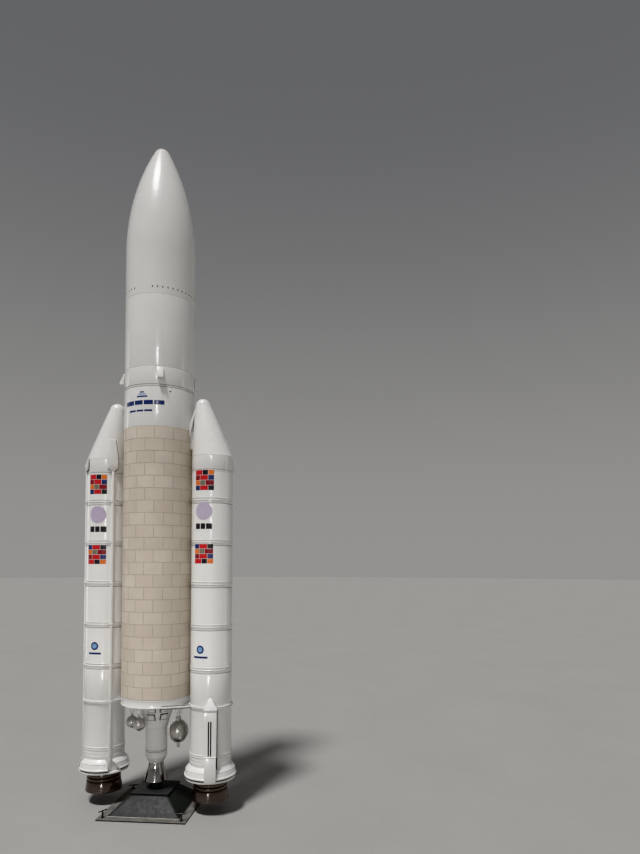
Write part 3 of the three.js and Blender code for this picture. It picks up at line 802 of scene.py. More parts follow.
# Engine: heights and radii of the bell's wall, and its swell; the shroud's foot, lower edge and lines
BELL = {"ceiling": 0.269, "taper": 0.240, "flare": 0.188, "throat": 0.045, "wall": 0.003, "swell": 0.82}
BELL_NECK = 0.004  # how much wider the neck is than the throat
BELL_STEPS = 8
BELL_RIM = ((-0.0012, 0.004), (0, 0.0035), (0, 0))  # from the mouth's radius and up from its edge
SHROUD = {"foot": 0.045, "edge": (0.3105, 0.3125), "lines": (0.3455, 0.3545), "lines_zone": (0.340, 0.480)}


def make_engine():
    bottom, top = span("engine_bell")
    mouth = radius_of("engine_bell")
    throat, wall, ceiling, taper = (BELL[key] for key in ("throat", "wall", "ceiling", "taper"))
    neck = throat + BELL_NECK
    rows = [(0, top), (throat, top), (throat, ceiling - wall), (neck, taper)]
    for step in range(1, BELL_STEPS):
        t = step / BELL_STEPS
        rows.append((neck + (mouth - neck) * t ** BELL["swell"], taper - (taper - bottom) * t))
    rows += [(mouth + out, bottom + up) for out, up in BELL_RIM]
    inside = mouth - wall
    rows += [(inside, bottom), (inside - 0.002, bottom + 0.005), (inside - 0.007, BELL["flare"])]
    rows += [(neck - wall, taper), (throat - wall, ceiling), (0, ceiling)]
    dressed(turned("engine_bell_cone", rows, BELL_SIDES, 0.0008), "bell metal", "engine_bell")

    low, high = span("engine_shroud")
    radius = radius_of("engine_shroud")
    under, over = SHROUD["edge"]
    rows = [(0, low), (SHROUD["foot"], low), (radius - 0.001, under), (radius, over)]
    for height in SHROUD["lines"]:
        rows += groove(radius, height, 0.0014)
    rows += head_rows(radius, high, 0.001)
    shroud = coloured(turned("engine_shroud_shell", rows, VESSEL_SIDES, 0.0005), "gloss white", "panel gap and painted shade")
    finished(darken(shroud, radius - GROOVE / 2, *SHROUD["lines_zone"]), "engine_shroud")


# Frames on the thrust cone: direction, the height of each one's middle, and its height
CONE_FRAMES = ((-80.5, 0.611, 0.027), (-85.0, 0.5645, 0.040), (-38.5, 0.611, 0.027), (-34.0, 0.5655, 0.038))
CONE_STRIP = -59.5  # the plain strip between the two columns of frames
FRAME_WIDE = 0.050
FRAME_MARGIN = 0.002  # how much wider and taller the painted shade plate is than the pad, on each side


def frame_pad(tall, inwards):
    """A white pad with a recess whose walls are painted dark as shade, on a near-black plate that shows
    above it and on its inner side as painted shadow.
    """
    panel = block("panel", (0.012, FRAME_WIDE - 2 * FRAME_MARGIN, tall), (-0.001, 0, -0.001))
    choose(panel, "FACE", lambda middle, normal: normal.x > 0.9)
    bpy.ops.mesh.inset(thickness=0.0035)
    bpy.ops.mesh.inset(thickness=0.0020, depth=-0.0015)
    leave()
    coloured(panel, "gloss white", "panel gap and painted shade")
    # the recess's sloped walls take the dark paint: painted shade
    for face in panel.data.polygons:
        across, up = abs(face.center.y), abs(face.center.z + 0.001)
        in_recess = across < FRAME_WIDE / 2 - 2 * FRAME_MARGIN and up < tall / 2 - FRAME_MARGIN
        if 0.1 < face.normal.x < 0.95 and in_recess:
            face.material_index = 1
    # a near-black plate behind the pad, shifted up and to its inner side so that it shows there: painted
    # shadow
    size, shift = (0.008, FRAME_WIDE, tall + 2 * FRAME_MARGIN), 0.0012
    painted_shade_plate = block("painted_shade_plate", size, (-shift, shift * inwards, shift))
    return joined("pad", [bevelled(panel, 0.0008, 2, 60), coloured(bevelled(painted_shade_plate, 0.0005), "slot black")])


def make_thrust_cone():
    low, high = span("thrust_cone")
    foot, head = radius_of("engine_shroud"), radius_of("thrust_cone")
    slope = math.atan2(head - foot, high - low)
    rows = foot_rows(foot, low, 0.001) + [(head - 0.001, high - 0.001), (head - 0.001, high), (0, high)]
    parts = [coloured(turned("cone_shell", rows, VESSEL_SIDES, 0.0006), "gloss white")]
    for at, middle, tall in CONE_FRAMES:
        spot = Matrix.Translation((foot + (middle - low) * math.tan(slope), 0, middle))
        pad = frame_pad(tall, 1 if at < CONE_STRIP else -1)
        parts.append(placed(pad, about(at) @ spot @ about(math.degrees(slope), "Y")))
    finished(joined("thrust_cone_shell", parts), "thrust_cone")


# Spheres under the core with their hangers; outlines of a sphere's plug and of its hanger's boss and pads
SPHERES = {"gas_sphere_1": "sphere_hanger_1", "gas_sphere_2": "sphere_hanger_2"}
SPHERE_SEAM = {"half": 0.0025, "proud": 0.0005, "tilt": 62}
# A hanger's two legs: how far apart they start and end, from the middle, and their radius
LEG = {"foot": 0.004, "head": 0.022, "radius": 0.0025}
PLUG = [(0, 0), (0.008, 0), (0.007, 0.005), (0.004, 0.007), (0, 0.007)]
BOSS = [(0, 0), (0.0085, 0), (0.009, 0.002), (0.009, 0.008), (0.006, 0.011), (0, 0.012)]
PAD = [(0, 0), (0.006, 0), (0.006, 0.0037), (0, 0.0037)]


def make_tanks():
    ceiling = span("core_aft_ring")[0]
    for sphere, hanger in SPHERES.items():
        low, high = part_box(sphere)
        middle = (low + high) / 2
        radius = (high.z - low.z) / 2
        there = Matrix.Translation(middle)
        deselect()
        skin = radius - SPHERE_SEAM["proud"]
        bpy.ops.mesh.primitive_uv_sphere_add(segments=72, ring_count=36, radius=skin, location=middle)
        shell = smooth(settle(bpy.context.object))
        half = SPHERE_SEAM["half"]
        seam = turned("seam", [(0, -half), (radius, -half), (radius, half), (0, half)], SMALL_SIDES, 0.001)
        placed(seam, there @ about(SPHERE_SEAM["tilt"], "Y"))
        plug = turned("plug", PLUG, TINY_SIDES, 0.001)
        placed(plug, there @ about(180, "X") @ Matrix.Translation((0, 0, radius - 0.004)))
        dressed(joined(f"{sphere}_vessel", [shell, seam, plug]), "tank metal", sphere)

        foot = span(hanger)[0]
        boss = turned("boss", BOSS, TINY_SIDES, 0.0005)
        parts = [placed(boss, Matrix.Translation((middle.x, middle.y, foot)))]
        for side in (-1, 1):
            head_x = middle.x + LEG["head"] * side
            start = (middle.x + LEG["foot"] * side, middle.y, foot + 0.006)
            parts.append(rod("leg", start, (head_x, middle.y, ceiling - 0.002), LEG["radius"], 16))
            pad = turned("pad", PAD, TINY_SIDES, 0.0006)
            parts.append(placed(pad, Matrix.Translation((head_x, middle.y, ceiling - 0.004))))
        dressed(joined(f"{hanger}_frame", parts), "hanger metal", hanger)


# The ovoid tank: its middle, radius and half height, its seam flange's rim and direction, the nub under
# it and the collar and stem above it
OVOID = {"at": (0.140, 0.017, 0.467), "radius": 0.056, "half": 0.070, "flange": 0.005, "turn": 26.9}
OVOID_NUB = {"end": 0.031, "radius": 0.009}
OVOID_NECK = {"collar": 0.018, "collar_radius": 0.017, "stem": 0.037, "stem_radius": 0.009}
OVOID_STEPS = 40


def make_ovoid():
    radius, half = OVOID["radius"], OVOID["half"]
    nub, stem, collar = OVOID_NUB["radius"], OVOID_NECK["stem_radius"], OVOID_NECK["collar_radius"]
    end = -half - OVOID_NUB["end"]
    rows = foot_rows(nub, end, 0.001) + [(nub, end + 0.010), (nub + 0.001, -half + 0.001)]
    for step in range(OVOID_STEPS + 1):
        angle = -math.pi / 2 + math.pi * step / OVOID_STEPS
        reach = math.cos(angle) * radius
        if reach > (nub + 0.003 if angle < 0 else collar):
            rows.append((reach, half * math.sin(angle)))
    top, stem_top, waist = half + OVOID_NECK["collar"], half + OVOID_NECK["stem"], collar - 0.002
    rows += [(collar, half - 0.006), (collar, half + 0.004), (waist, half + 0.005)]
    rows += [(waist, half + 0.007), (collar, half + 0.008), (collar, top - 0.001), (collar - 0.001, top)]
    rows += [(stem, top), (stem, stem_top), (0, stem_top)]
    vessel = coloured(turned("ovoid_vessel", rows, VESSEL_SIDES), "tank metal")
    flange = settle(cylinder(96, 1, 0.006, rotation=(math.pi / 2, 0, 0)))
    flange.scale = (radius + OVOID["flange"], 1, half + OVOID["flange"])
    flange.rotation_euler = (0, 0, math.radians(OVOID["turn"]))
    coloured(bevelled(settle(flange), 0.0012, 3), "hanger metal")
    tank = joined("ovoid_tank_vessel", [vessel, flange])
    finished(placed(tank, Matrix.Translation(OVOID["at"])), "ovoid_tank")
    dressed(refined("ovoid_hanger_bracket", "ovoid_hanger", 0.0008), "gloss white", "ovoid_hanger")


# Core: the aft ring's radius above its lip, and the bead round its head; the line round each of two drums
AFT_RING_RADIUS = 0.214
AFT_RING_BEAD = ((0.0, -0.010), (0.0015, -0.009), (0.0015, -0.003), (0.0, -0.002))  # out, and from its top
DRUM_LINES = {"upper_stage": 2.588, "equipment_bay": 2.6005}


def make_core():
    low, high = span("core_aft_ring")
    ring, lip = AFT_RING_RADIUS, STAGE_RADIUS
    rows = foot_rows(lip, low, 0.001)
    rows += [(lip, low + 0.005), (lip - 0.0003, low + 0.0055), (ring, low + 0.0056)]
    rows += [(ring + out, high + up) for out, up in AFT_RING_BEAD] + [(ring, high), (0, high)]
    dressed(turned("aft_ring_shell", rows, CORE_SIDES, 0.0006), "gloss white", "core_aft_ring")
    make_tiles()
    for name, line in DRUM_LINES.items():
        finished(drum(f"{name}_shell", *span(name), CORE_RADIUS, (line,), CORE_SIDES), name)
    for index in range(1, 5):
        thruster = f"thruster_block_{index}"
        dressed(refined(f"wedge_block_{index}", thruster, 0.0015, 3), "gloss white", thruster)


def make_tiles():
    """The tiled stage: a drum of quads, each tile inset and raised above the joints round it."""
    low, high = span("core_stage")
    floor_radius = STAGE_RADIUS - JOINT["depth"]
    sides = TILES_ROUND * 8  # each tile is eight sides wide, and its row is shifted by four
    middle, turn = (0, 0, (low + high) / 2), (0, 0, math.radians(TILE_JOINT_ODD - 90))
    stage = settle(cylinder(sides, floor_radius, high - low, location=middle, rotation=turn))
    named(stage, "tiled_stage_shell")
    choose(stage, "EDGE", lambda a, b: abs(a.z - b.z) > 0.5)
    bpy.ops.mesh.subdivide(number_cuts=TILE_ROWS - 1)
    row_height = (high - low) / TILE_ROWS
    tile_angle = 360 / TILES_ROUND

    def kind_of(middle):
        """Whether the tile at this point is in an odd row and an odd column."""
        row = int((high - middle.z) / row_height)
        start = TILE_JOINT_ODD + (row % 2) * tile_angle / 2
        angle = math.degrees(math.atan2(middle.y, middle.x)) - start
        return row % 2, int((angle % 360) / tile_angle) % 2

    for kind in ((0, 0), (0, 1), (1, 0), (1, 1)):
        choose(stage, "FACE", lambda middle, normal: abs(normal.z) <= 0.3 and kind_of(middle) == kind)
        bpy.ops.mesh.inset(thickness=JOINT["half"], use_even_offset=True)
        bpy.ops.mesh.inset(thickness=JOINT["chamfer"], depth=JOINT["depth"], use_even_offset=True)
    leave()
    for material in (tile_material(), plain_material("tile joint", *FILLER)):
        stage.data.materials.append(material)
    edge = (floor_radius + JOINT["depth"] * 0.75) * math.cos(math.pi / sides)
    for face in stage.data.polygons:
        raised = math.hypot(face.center.x, face.center.y) > edge or abs(face.normal.z) > 0.9
        face.material_index = 0 if raised else 1
    finished(smooth(stage), "core_stage")


# Fairing: the vents round the nose's foot, the seam, and the nose's outline
VENT_STEP = 360 / 44
VENT_FIRST = -77.5
VENT_HEIGHTS = (3.1915, 3.2035)
VENT = {"inset": 0.0006, "depth": 0.003, "edge": 0.0003, "dark": 0.0008}
VENT_GAPS = (-94, 86)  # three vents are missing round each of these directions
SPLIT = -7.6  # the seam between the fairing's two half shells
SEAM = {"half": 0.0006, "depth": 0.0010, "near": 0.00002, "clear": 0.045}
OGIVE = {"start": 3.476, "tip": 4.180, "tip_radius": 0.053}
OGIVE_STEPS = 36
TIP_STEPS = 14


def seam_cut(shell):
    """The fine seam between the fairing's two half shells, down both of its sides."""
    across = Vector(on_round(1, SPLIT + 90, 0))
    edit_all(shell, "EDGE")
    bpy.ops.mesh.bisect(plane_co=(0, 0, 0), plane_no=across)

    def on_seam(*points):
        clear = min(math.hypot(point.x, point.y) for point in points) > SEAM["clear"]
        return clear and all(abs(point.dot(across)) < SEAM["near"] for point in points)

    choose(shell, "EDGE", on_seam)
    bpy.ops.mesh.bevel(offset=SEAM["half"], segments=1)
    choose(shell, "FACE", lambda middle, normal: on_seam(middle) and abs(normal.z) < LEVEL)
    bpy.ops.mesh.extrude_region_shrink_fatten(TRANSFORM_OT_shrink_fatten={"value": -SEAM["depth"]})
    shell.active_material_index = 1
    bpy.ops.object.material_slot_assign()
    leave()


def ogive_rows():
    """Rows from the tangent point up to the tip: an arc that runs into a round end."""
    start, tip, tip_radius = OGIVE["start"], OGIVE["tip"], OGIVE["tip_radius"]
    tip_centre = tip - tip_radius
    rise = tip_centre - start
    arc = (CORE_RADIUS ** 2 + rise ** 2 - tip_radius ** 2) / (2 * (CORE_RADIUS - tip_radius))
    end = math.atan2(rise, arc - CORE_RADIUS)
    rows = []
    for step in range(OGIVE_STEPS + 1):
        angle = end * step / OGIVE_STEPS
        rows.append((CORE_RADIUS - arc + arc * math.cos(angle), start + arc * math.sin(angle)))
    for step in range(1, TIP_STEPS):
        angle = end + (math.pi / 2 - end) * step / TIP_STEPS
        rows.append((tip_radius * math.cos(angle), tip_centre + tip_radius * math.sin(angle)))
    return rows + [(0, tip)]


def has_vent(angle):
    """Whether a vent sits at this direction round the nose."""
    if any(abs((angle - gap + 180) % 360 - 180) < 1.5 * VENT_STEP for gap in VENT_GAPS):
        return False
    off = (angle - VENT_FIRST + VENT_STEP / 2) % VENT_STEP - VENT_STEP / 2
    return abs(off) <= 180 / FAIRING_SIDES


def make_fairing():
    barrel = drum("fairing_cylinder_shell", *span("fairing_cylinder"), CORE_RADIUS, (), FAIRING_SIDES)
    seam_cut(barrel)
    finished(smooth(barrel), "fairing_cylinder")

    rows = foot_rows(CORE_RADIUS, span("fairing_nose")[0], RIM)
    rows += [(CORE_RADIUS, height) for height in VENT_HEIGHTS] + ogive_rows()
    nose = coloured(turned("fairing_nose_shell", rows, FAIRING_SIDES), "gloss white", "panel gap and painted shade")
    seam_cut(nose)
    middle_height = sum(VENT_HEIGHTS) / 2

    def vent(middle, normal):
        angle = math.degrees(math.atan2(middle.y, middle.x))
        return abs(middle.z - middle_height) < 0.002 and has_vent(angle)

    choose(nose, "FACE", vent)
    bpy.ops.mesh.inset(thickness=VENT["inset"], use_individual=True)
    bpy.ops.mesh.extrude_faces_move(TRANSFORM_OT_shrink_fatten={"value": -VENT["depth"]})
    bpy.ops.mesh.bevel(offset=VENT["edge"])
    leave()
    # the vents' hollows take the dark paint: painted shade
    darken(nose, CORE_RADIUS - VENT["dark"], *VENT_HEIGHTS)
    finished(smooth(nose, 20), "fairing_nose")


# Boosters: each piece is modelled once about the origin's axis, its +X away from the core
SIDES_AT = {"right": 0, "left": 180}
AXIS_X = {"right": BOOSTER_X, "left": -BOOSTER_X}


def on_both(pattern, piece_name, node_name):
    """Copies of the pattern on the right and the left booster, the left one turned half round."""
    for side, turn in SIDES_AT.items():
        piece = named(duplicate(pattern), f"{side}_{piece_name}")
        piece.location = (AXIS_X[side], 0, 0)
        piece.rotation_euler = (0, 0, math.radians(turn))
        finished(settle(piece), f"{side}_{node_name}")
    bpy.data.objects.remove(pattern)


NOZZLE = {"mouth": 0.113, "waist": 0.104, "head": 0.100, "wall": 0.004}
NOZZLE_INSIDE = {"ledge": 0.139, "ceiling": 0.200, "narrower": 0.010}
# Rounded ribs round the nozzle's head: radius of the foot, middle height, half height and bulge
NOZZLE_RIBS = (
    (0.1005, 0.1790, 0.0085, 0.0026),
    (0.1015, 0.1560, 0.0080, 0.0034),
    (0.1036, 0.1385, 0.0030, 0.0018),
)
# The grooves between the ribs, painted black as shade: radius, top and bottom
NOZZLE_GROOVES = ((0.0985, 0.1700, 0.1645), (0.0995, 0.1475, 0.1420))
RIB_STEPS = 8
NOZZLE_SHOULDER = 0.1885  # where the plain head ends
NOZZLE_SKIRT = ((0.0010, 0.1350), (0.0048, 0.1170))  # below the ribs: out from the waist, and height


def make_nozzle():
    bottom, top = span("right_nozzle")
    mouth, waist, head, wall = (NOZZLE[key] for key in ("mouth", "waist", "head", "wall"))
    rows = [(0, top), (head, top), (head, NOZZLE_SHOULDER)]
    for index, (radius, middle, half, bulge) in enumerate(NOZZLE_RIBS):
        for step in range(RIB_STEPS + 1):
            angle = math.pi * (0.5 - step / RIB_STEPS)
            rows.append((radius + bulge * math.cos(angle), middle + half * math.sin(angle)))
        for deep, high, low in NOZZLE_GROOVES[index:index + 1]:
            rows += [(deep, high - 0.0004), (deep, low + 0.0004)]
    rows += [(waist + out, height) for out, height in NOZZLE_SKIRT]
    rows += [(mouth - 0.0008, bottom + 0.008), (mouth, bottom + 0.007), (mouth, bottom)]
    inside, ceiling = mouth - wall, NOZZLE_INSIDE["ceiling"]
    rows += [(inside, bottom), (inside - 0.001, bottom + 0.008), (waist - wall, NOZZLE_INSIDE["ledge"])]
    rows += [(head - NOZZLE_INSIDE["narrower"], ceiling), (0, ceiling)]
    nozzle = coloured(turned("nozzle", rows, BOOSTER_SIDES), "bronze black", "slot black")
    # painted shade in the grooves
    for deep, high, low in NOZZLE_GROOVES:
        darken(nozzle, deep + 0.0004, low - 0.0005, high + 0.0005)
    on_both(nozzle, "nozzle_cone", "nozzle")


# The aft skirt's lip, and the flare that stands on it in two shells, with a gap at the foot of each duct
LIP = {"bottom": 0.2155, "top": 0.218, "radius": 0.152}
# The flare's outline, upwards: foot and its groove, the round bead, the wall, the upper groove, the taper
FLARE = [
    (0.124, 0.2186), (0.1485, 0.2186), (0.1485, 0.2262),
    (0.1555, 0.2272), (0.1585, 0.2300), (0.1585, 0.2355), (0.1560, 0.2385), (0.1525, 0.2395),
    (0.1500, 0.2655), (0.1480, 0.2663), (0.1480, 0.2680), (0.1494, 0.2688),
    (0.1285, 0.2925), (0.1240, 0.2940),
]
FLARE_TOP = 0.2925
FLARE_GROOVES = ((0.2190, 0.2258), (0.2665, 0.2679))
# Directions: the back shell's upright end, its chamfer's upper end, and the front shell's slanted end on
# the lip and at its top
FLARE_ENDS = {"upright": 50.5, "chamfer": 56, "low": 163, "high": 139}
# Bands round the skirt: radius and bulge beyond the skirt's, height, and half heights of foot and crown
SKIRT_BANDS = (
    (0.0, 0.313, 0.0009, 0.0015, 0.0008),
    (0.0, 0.334, 0.0009, 0.0015, 0.0008),
    (0.0004, 0.3535, 0.0018, 0.003, 0.002),
    (0.0004, 0.3660, 0.0026, 0.003, 0.002),
)
SKIRT_HEAD = ((0.0, -0.008), (0.0015, -0.007), (0.0015, -0.001), (0.0, 0.0))  # out, and from its top


def flare_shell(start, end):
    shell = swept("flare", FLARE, start, end, round((end - start) / 2.5), 0.0008)
    coloured(shell, "gloss white", "panel gap and painted shade")
    for low, high in FLARE_GROOVES:
        darken(shell, 0.1487, low, high)
    return shell


def make_flare():
    """The flare's parts: the back shell, and the front shell as two halves that meet."""
    upright, chamfer, low_end, high_end = (FLARE_ENDS[key] for key in ("upright", "chamfer", "low", "high"))
    back = flare_shell(upright, 180 - upright)
    for turn in (1, -1):
        points = ((0.150, upright, 0.268), (0.128, chamfer, FLARE_TOP), (0.100, upright, 0.268))
        corners = [(turn * x, y, z) for x, y, z in (on_round(*point) for point in points)]
        trimmed(back, corners, (0, 0.14, 0.25))
    half = flare_shell(high_end - 2, 270)
    low, high = on_round(LIP["radius"], low_end, LIP["top"]), on_round(BOOSTER_RADIUS, high_end, FLARE_TOP)
    trimmed(half, (low, high, (0, 0, (LIP["top"] + FLARE_TOP) / 2)), (0, -0.14, 0.25))
    choose(half, "FACE", lambda middle, normal: abs(middle.x) < 0.00001 and middle.y < 0)
    bpy.ops.mesh.delete(type="ONLY_FACE")
    leave()
    other = duplicate(half)
    other.scale = (-1, 1, 1)
    front = joined("front", [half, settle(other)])
    edit_all(front)
    tidy_mesh()
    leave()
    return [bevelled(shell, 0.0010, 2, 60) for shell in (back, front)]


def make_skirt():
    bottom, top = span("right_aft_skirt")
    r = BOOSTER_RADIUS
    lip, lip_top = LIP["radius"], LIP["top"]
    rows = [(0, LIP["bottom"]), (lip - 0.009, LIP["bottom"]), (lip - 0.0045, bottom), (lip - 0.001, bottom)]
    rows += [(lip, bottom + 0.001), (lip, lip_top - 0.001), (lip - 0.001, lip_top), (r, lip_top + 0.0001)]
    for base, height, proud, foot, crown in SKIRT_BANDS:
        rows += band(r + base, height, proud, foot, crown)
    rows += [(r, 0.372)] + [(r + out, top + up) for out, up in SKIRT_HEAD] + [(0, top)]
    body = coloured(turned("body", rows, BOOSTER_SIDES, 0.0006), "gloss white", "panel gap and painted shade")
    on_both(joined("skirt", [body, *make_flare()]), "aft_skirt_shell", "aft_skirt")


FLANGE_MIDDLE = 0.6515
FLANGE_DARK = 0.0007  # the faces of the flange's line that lie deeper than this are dark
CASE_JOINTS = (0.876, 1.133, 1.391, 1.646, 1.903)
# At each joint, from its height: a line below it, and two bands of the same bulge and half heights
JOINT_LINE = -0.022
JOINT_BANDS = (-0.002, 0.012)
JOINT_BAND = (0.002, 0.003, 0.002)
FORWARD_LINE = 2.086


def make_case():
    """The flange ring, the case with its joints, and the forward skirt."""
    bottom, top = span("right_flange_ring")
    radius, middle, edge = radius_of("right_flange_ring"), FLANGE_MIDDLE, 0.001
    rows = foot_rows(radius, bottom, edge) + band(radius, middle, -GROOVE, 0.001, 0.0006)
    rows += head_rows(radius, top, edge)
    flange = coloured(turned("flange", rows, BOOSTER_SIDES, 0.0004), "gloss white", "panel gap and painted shade")
    darken(flange, radius - FLANGE_DARK, middle - GROOVE_REACH, middle + GROOVE_REACH)
    on_both(flange, "flange_ring_rim", "flange_ring")

    bottom, top = span("right_case")
    r = BOOSTER_RADIUS
    rows = [(0, bottom), (r, bottom)]
    for joint in CASE_JOINTS:
        rows += groove(r, joint + JOINT_LINE)
        for shift in JOINT_BANDS:
            rows += band(r, joint + shift, *JOINT_BAND)
    rows += head_rows(r, top, edge)
    case = coloured(turned("case", rows, BOOSTER_SIDES, 0.0005), "gloss white", "panel gap and painted shade")
    for joint in CASE_JOINTS:
        line = joint + JOINT_LINE
        darken(case, r - GROOVE / 2, line - GROOVE_REACH, line + GROOVE_REACH)
    on_both(case, "case_shell", "case")

    forward = drum("forward", *span("right_forward_skirt"), r, (FORWARD_LINE,), BOOSTER_SIDES)
    on_both(forward, "forward_skirt_shell", "forward_skirt")


NOSE = {"tip_radius": 0.048, "lean": 0.0656, "belly": 0.003}
CONE_STEPS = 20
ROUND_STEPS = 12


def make_nose():
    """The slanted nose: rings that shrink and shift towards the core, then a round end."""
    base, top = span("right_nose")
    tip_radius, lean, belly = NOSE["tip_radius"], NOSE["lean"], NOSE["belly"]
    centre = top - tip_radius
    half_angle = math.atan2(BOOSTER_RADIUS - tip_radius, centre - base)
    cone_top = centre + tip_radius * math.sin(half_angle)
    cone_end = tip_radius * math.cos(half_angle)
    rows = [(BOOSTER_RADIUS - RIM, base, 0.0), (BOOSTER_RADIUS, base + RIM, 0.0)]
    for step in range(1, CONE_STEPS + 1):
        t = step / CONE_STEPS
        radius = BOOSTER_RADIUS + (cone_end - BOOSTER_RADIUS) * t + belly * 4 * t * (1 - t)
        rows.append((radius, base + (cone_top - base) * t, -lean * t))
    for step in range(1, ROUND_STEPS):
        angle = half_angle + (math.pi / 2 - half_angle) * step / ROUND_STEPS
        rows.append((tip_radius * math.cos(angle), centre + tip_radius * math.sin(angle), -lean))
    deselect()
    bpy.ops.mesh.primitive_circle_add(
        vertices=BOOSTER_SIDES, radius=rows[0][0], fill_type="NGON", location=(0, 0, base)
    )
    nose = settle(bpy.context.object)
    edit_all(nose)
    for before, after in zip(rows, rows[1:]):
        step = (after[2] - before[2], 0, after[1] - before[1])
        bpy.ops.mesh.extrude_region_move(TRANSFORM_OT_translate={"value": step})
        grow = after[0] / before[0]
        bpy.ops.transform.resize(value=(grow, grow, 1), center_override=(after[2], 0, after[1]))
    bpy.ops.transform.translate(value=(0, 0, top - rows[-1][1]))
    bpy.ops.mesh.merge(type="CENTER")
    tidy_mesh()
    leave()
    on_both(coloured(smooth(nose, 25), "gloss white"), "nose_cone", "nose")


# Cable ducts, with a strap over each joint of the case; the angles are those of the CAD's ducts
DUCT_ANGLES = {"outer": 45, "inner": 135}
DUCT = {"width": 0.016, "reach": 0.010, "chamfer": 0.012}
# The ducts stand just clear of the flat sides of the CAD's case
CAD_CASE_SIDES = 36
CASE_FLAT = BOOSTER_RADIUS * math.cos(math.pi / CAD_CASE_SIDES) + 0.0003
STRAP = {"proud": 0.0012, "wide": 0.024, "tall": 0.010}


def make_ducts():
    seat = BOOSTER_RADIUS - 0.002
    bottom, top = span("right_duct_outer")
    outer_reach = CASE_FLAT + DUCT["reach"]

    def bar(name, reach, wide, tall, height):
        return block(name, (reach - seat, wide, tall), ((reach + seat) / 2, 0, height))

    for name, angle in DUCT_ANGLES.items():
        channel = bar("channel", outer_reach, DUCT["width"], top - bottom, (top + bottom) / 2)
        choose(channel, "EDGE", lambda a, b: max(a.z, b.z) < bottom + 0.01 and min(a.x, b.x) > seat + 0.005)
        bpy.ops.transform.translate(value=(0, 0, DUCT["chamfer"]))
        choose(channel, "EDGE", lambda a, b: abs(a.z - b.z) > 0.5 and min(a.x, b.x) > seat + 0.005)
        bpy.ops.mesh.bevel(offset=0.0025, segments=3)
        leave()
        parts = [bevelled(channel, 0.0005)]
        for height in (FLANGE_MIDDLE, *CASE_JOINTS):
            strap = bar("strap", outer_reach + STRAP["proud"], STRAP["wide"], STRAP["tall"], height)
            parts.append(bevelled(strap, 0.0015, 3))
        duct = placed(joined("duct", parts), about(angle))
        on_both(coloured(duct, "gloss white"), f"duct_{name}_channel", f"duct_{name}")


# Rear struts: a white bar and a thinner dark bar inside it that shows above and below it as painted shade,
# each with its paint, lowest and highest point, and share of the strut's thickness; and the level direction
# across both struts
STRUT = {"bar": ("gloss white", 0.6462, 0.6570, 1.0), "shade_bar": ("panel gap and painted shade", 0.6405, 0.6610, 0.4)}
STRUT_ACROSS = 120
# A pod's painted shadow, a thin dark sheet under it: growth across and up, thickness, and shift sideways and
# down
SHADE_SHEET = {"across": 1.06, "up": 1.014, "thick": 0.0018, "shift": 0.0026, "drop": 0.0018}
POD_LEAN = {"degrees": 2.4, "height": 2.125}  # the outer pods lean in a little above this height


def make_rear_strut(side):
    node_name = f"{side}_rear_strut"
    low, high = span(node_name)
    turn = about(STRUT_ACROSS)
    parts = []
    # the dark bar stands out above and below the white one: painted shade
    for name, (colour, start, end, share) in STRUT.items():
        part = placed(copied(name, node_name), turn.inverted())
        reach = [vertex.co.x for vertex in part.data.vertices]
        middle = (min(reach) + max(reach)) / 2
        scale = Matrix.Diagonal((share, 1, (end - start) / (high - low), 1))
        there, back = Matrix.Translation((middle, 0, start)), Matrix.Translation((-middle, 0, -low))
        parts.append(coloured(bevelled(placed(part, turn @ there @ scale @ back), 0.0015), colour))
    finished(joined(f"{node_name}_shell", parts), node_name)


def shade_sheet(pod_node, side, angle):
    """A thin dark sheet cut from a pod's seat, a little wider all round and shifted: painted shadow at the
    pod's edges.
    """
    axis = Matrix.Translation((AXIS_X[side], 0, 0))
    sheet = placed(copied("shade_sheet", pod_node), about(-angle) @ axis.inverted())
    choose(sheet, "FACE", lambda middle, normal: normal.x > -0.5)
    bpy.ops.mesh.delete(type="FACE")
    leave()
    middle = Matrix.Translation((0, 0, sum(span(pod_node)) / 2))
    grown = middle @ Matrix.Diagonal((1, SHADE_SHEET["across"], SHADE_SHEET["up"], 1)) @ middle.inverted()
    # shifted sideways and down so that it shows most on those sides: painted shadow
    placed(sheet, Matrix.Translation((0, SHADE_SHEET["shift"], -SHADE_SHEET["drop"])) @ grown)
    apply(sheet, "wall", "SOLIDIFY", thickness=SHADE_SHEET["thick"], offset=-1)
    return coloured(smooth(placed(sheet, axis @ about(angle))), "slot black")


def lean_in(pod, side, angle):
    """Turns a pod about the level line across its foot, so that its top lies lower on the nose."""
    foot = Vector(on_round(BOOSTER_RADIUS, angle, POD_LEAN["height"])) + Vector((AXIS_X[side], 0, 0))
    there, level = Matrix.Translation(foot), Vector(on_round(1, angle + 90, 0))
    return placed(pod, there @ about(-POD_LEAN["degrees"], level) @ there.inverted())


def make_fittings():
    """Pods on their dark sheets of painted shadow, forward fittings and rear struts."""
    for side, turn in SIDES_AT.items():
        for part, angle in DUCT_ANGLES.items():
            node_name = f"{side}_pod_{part}"
            shell = coloured(refined("shell", node_name, 0.0015, 3), "gloss white")
            pod = joined(f"{node_name}_shell", [shell, shade_sheet(node_name, side, angle + turn)])
            if part == "outer":
                lean_in(pod, side, angle + turn)
            finished(pod, node_name)
        fitting = f"{side}_forward_fitting"
        dressed(refined(f"{fitting}_shell", fitting, 0.0015), "gloss white", fitting)
        make_rear_strut(side)


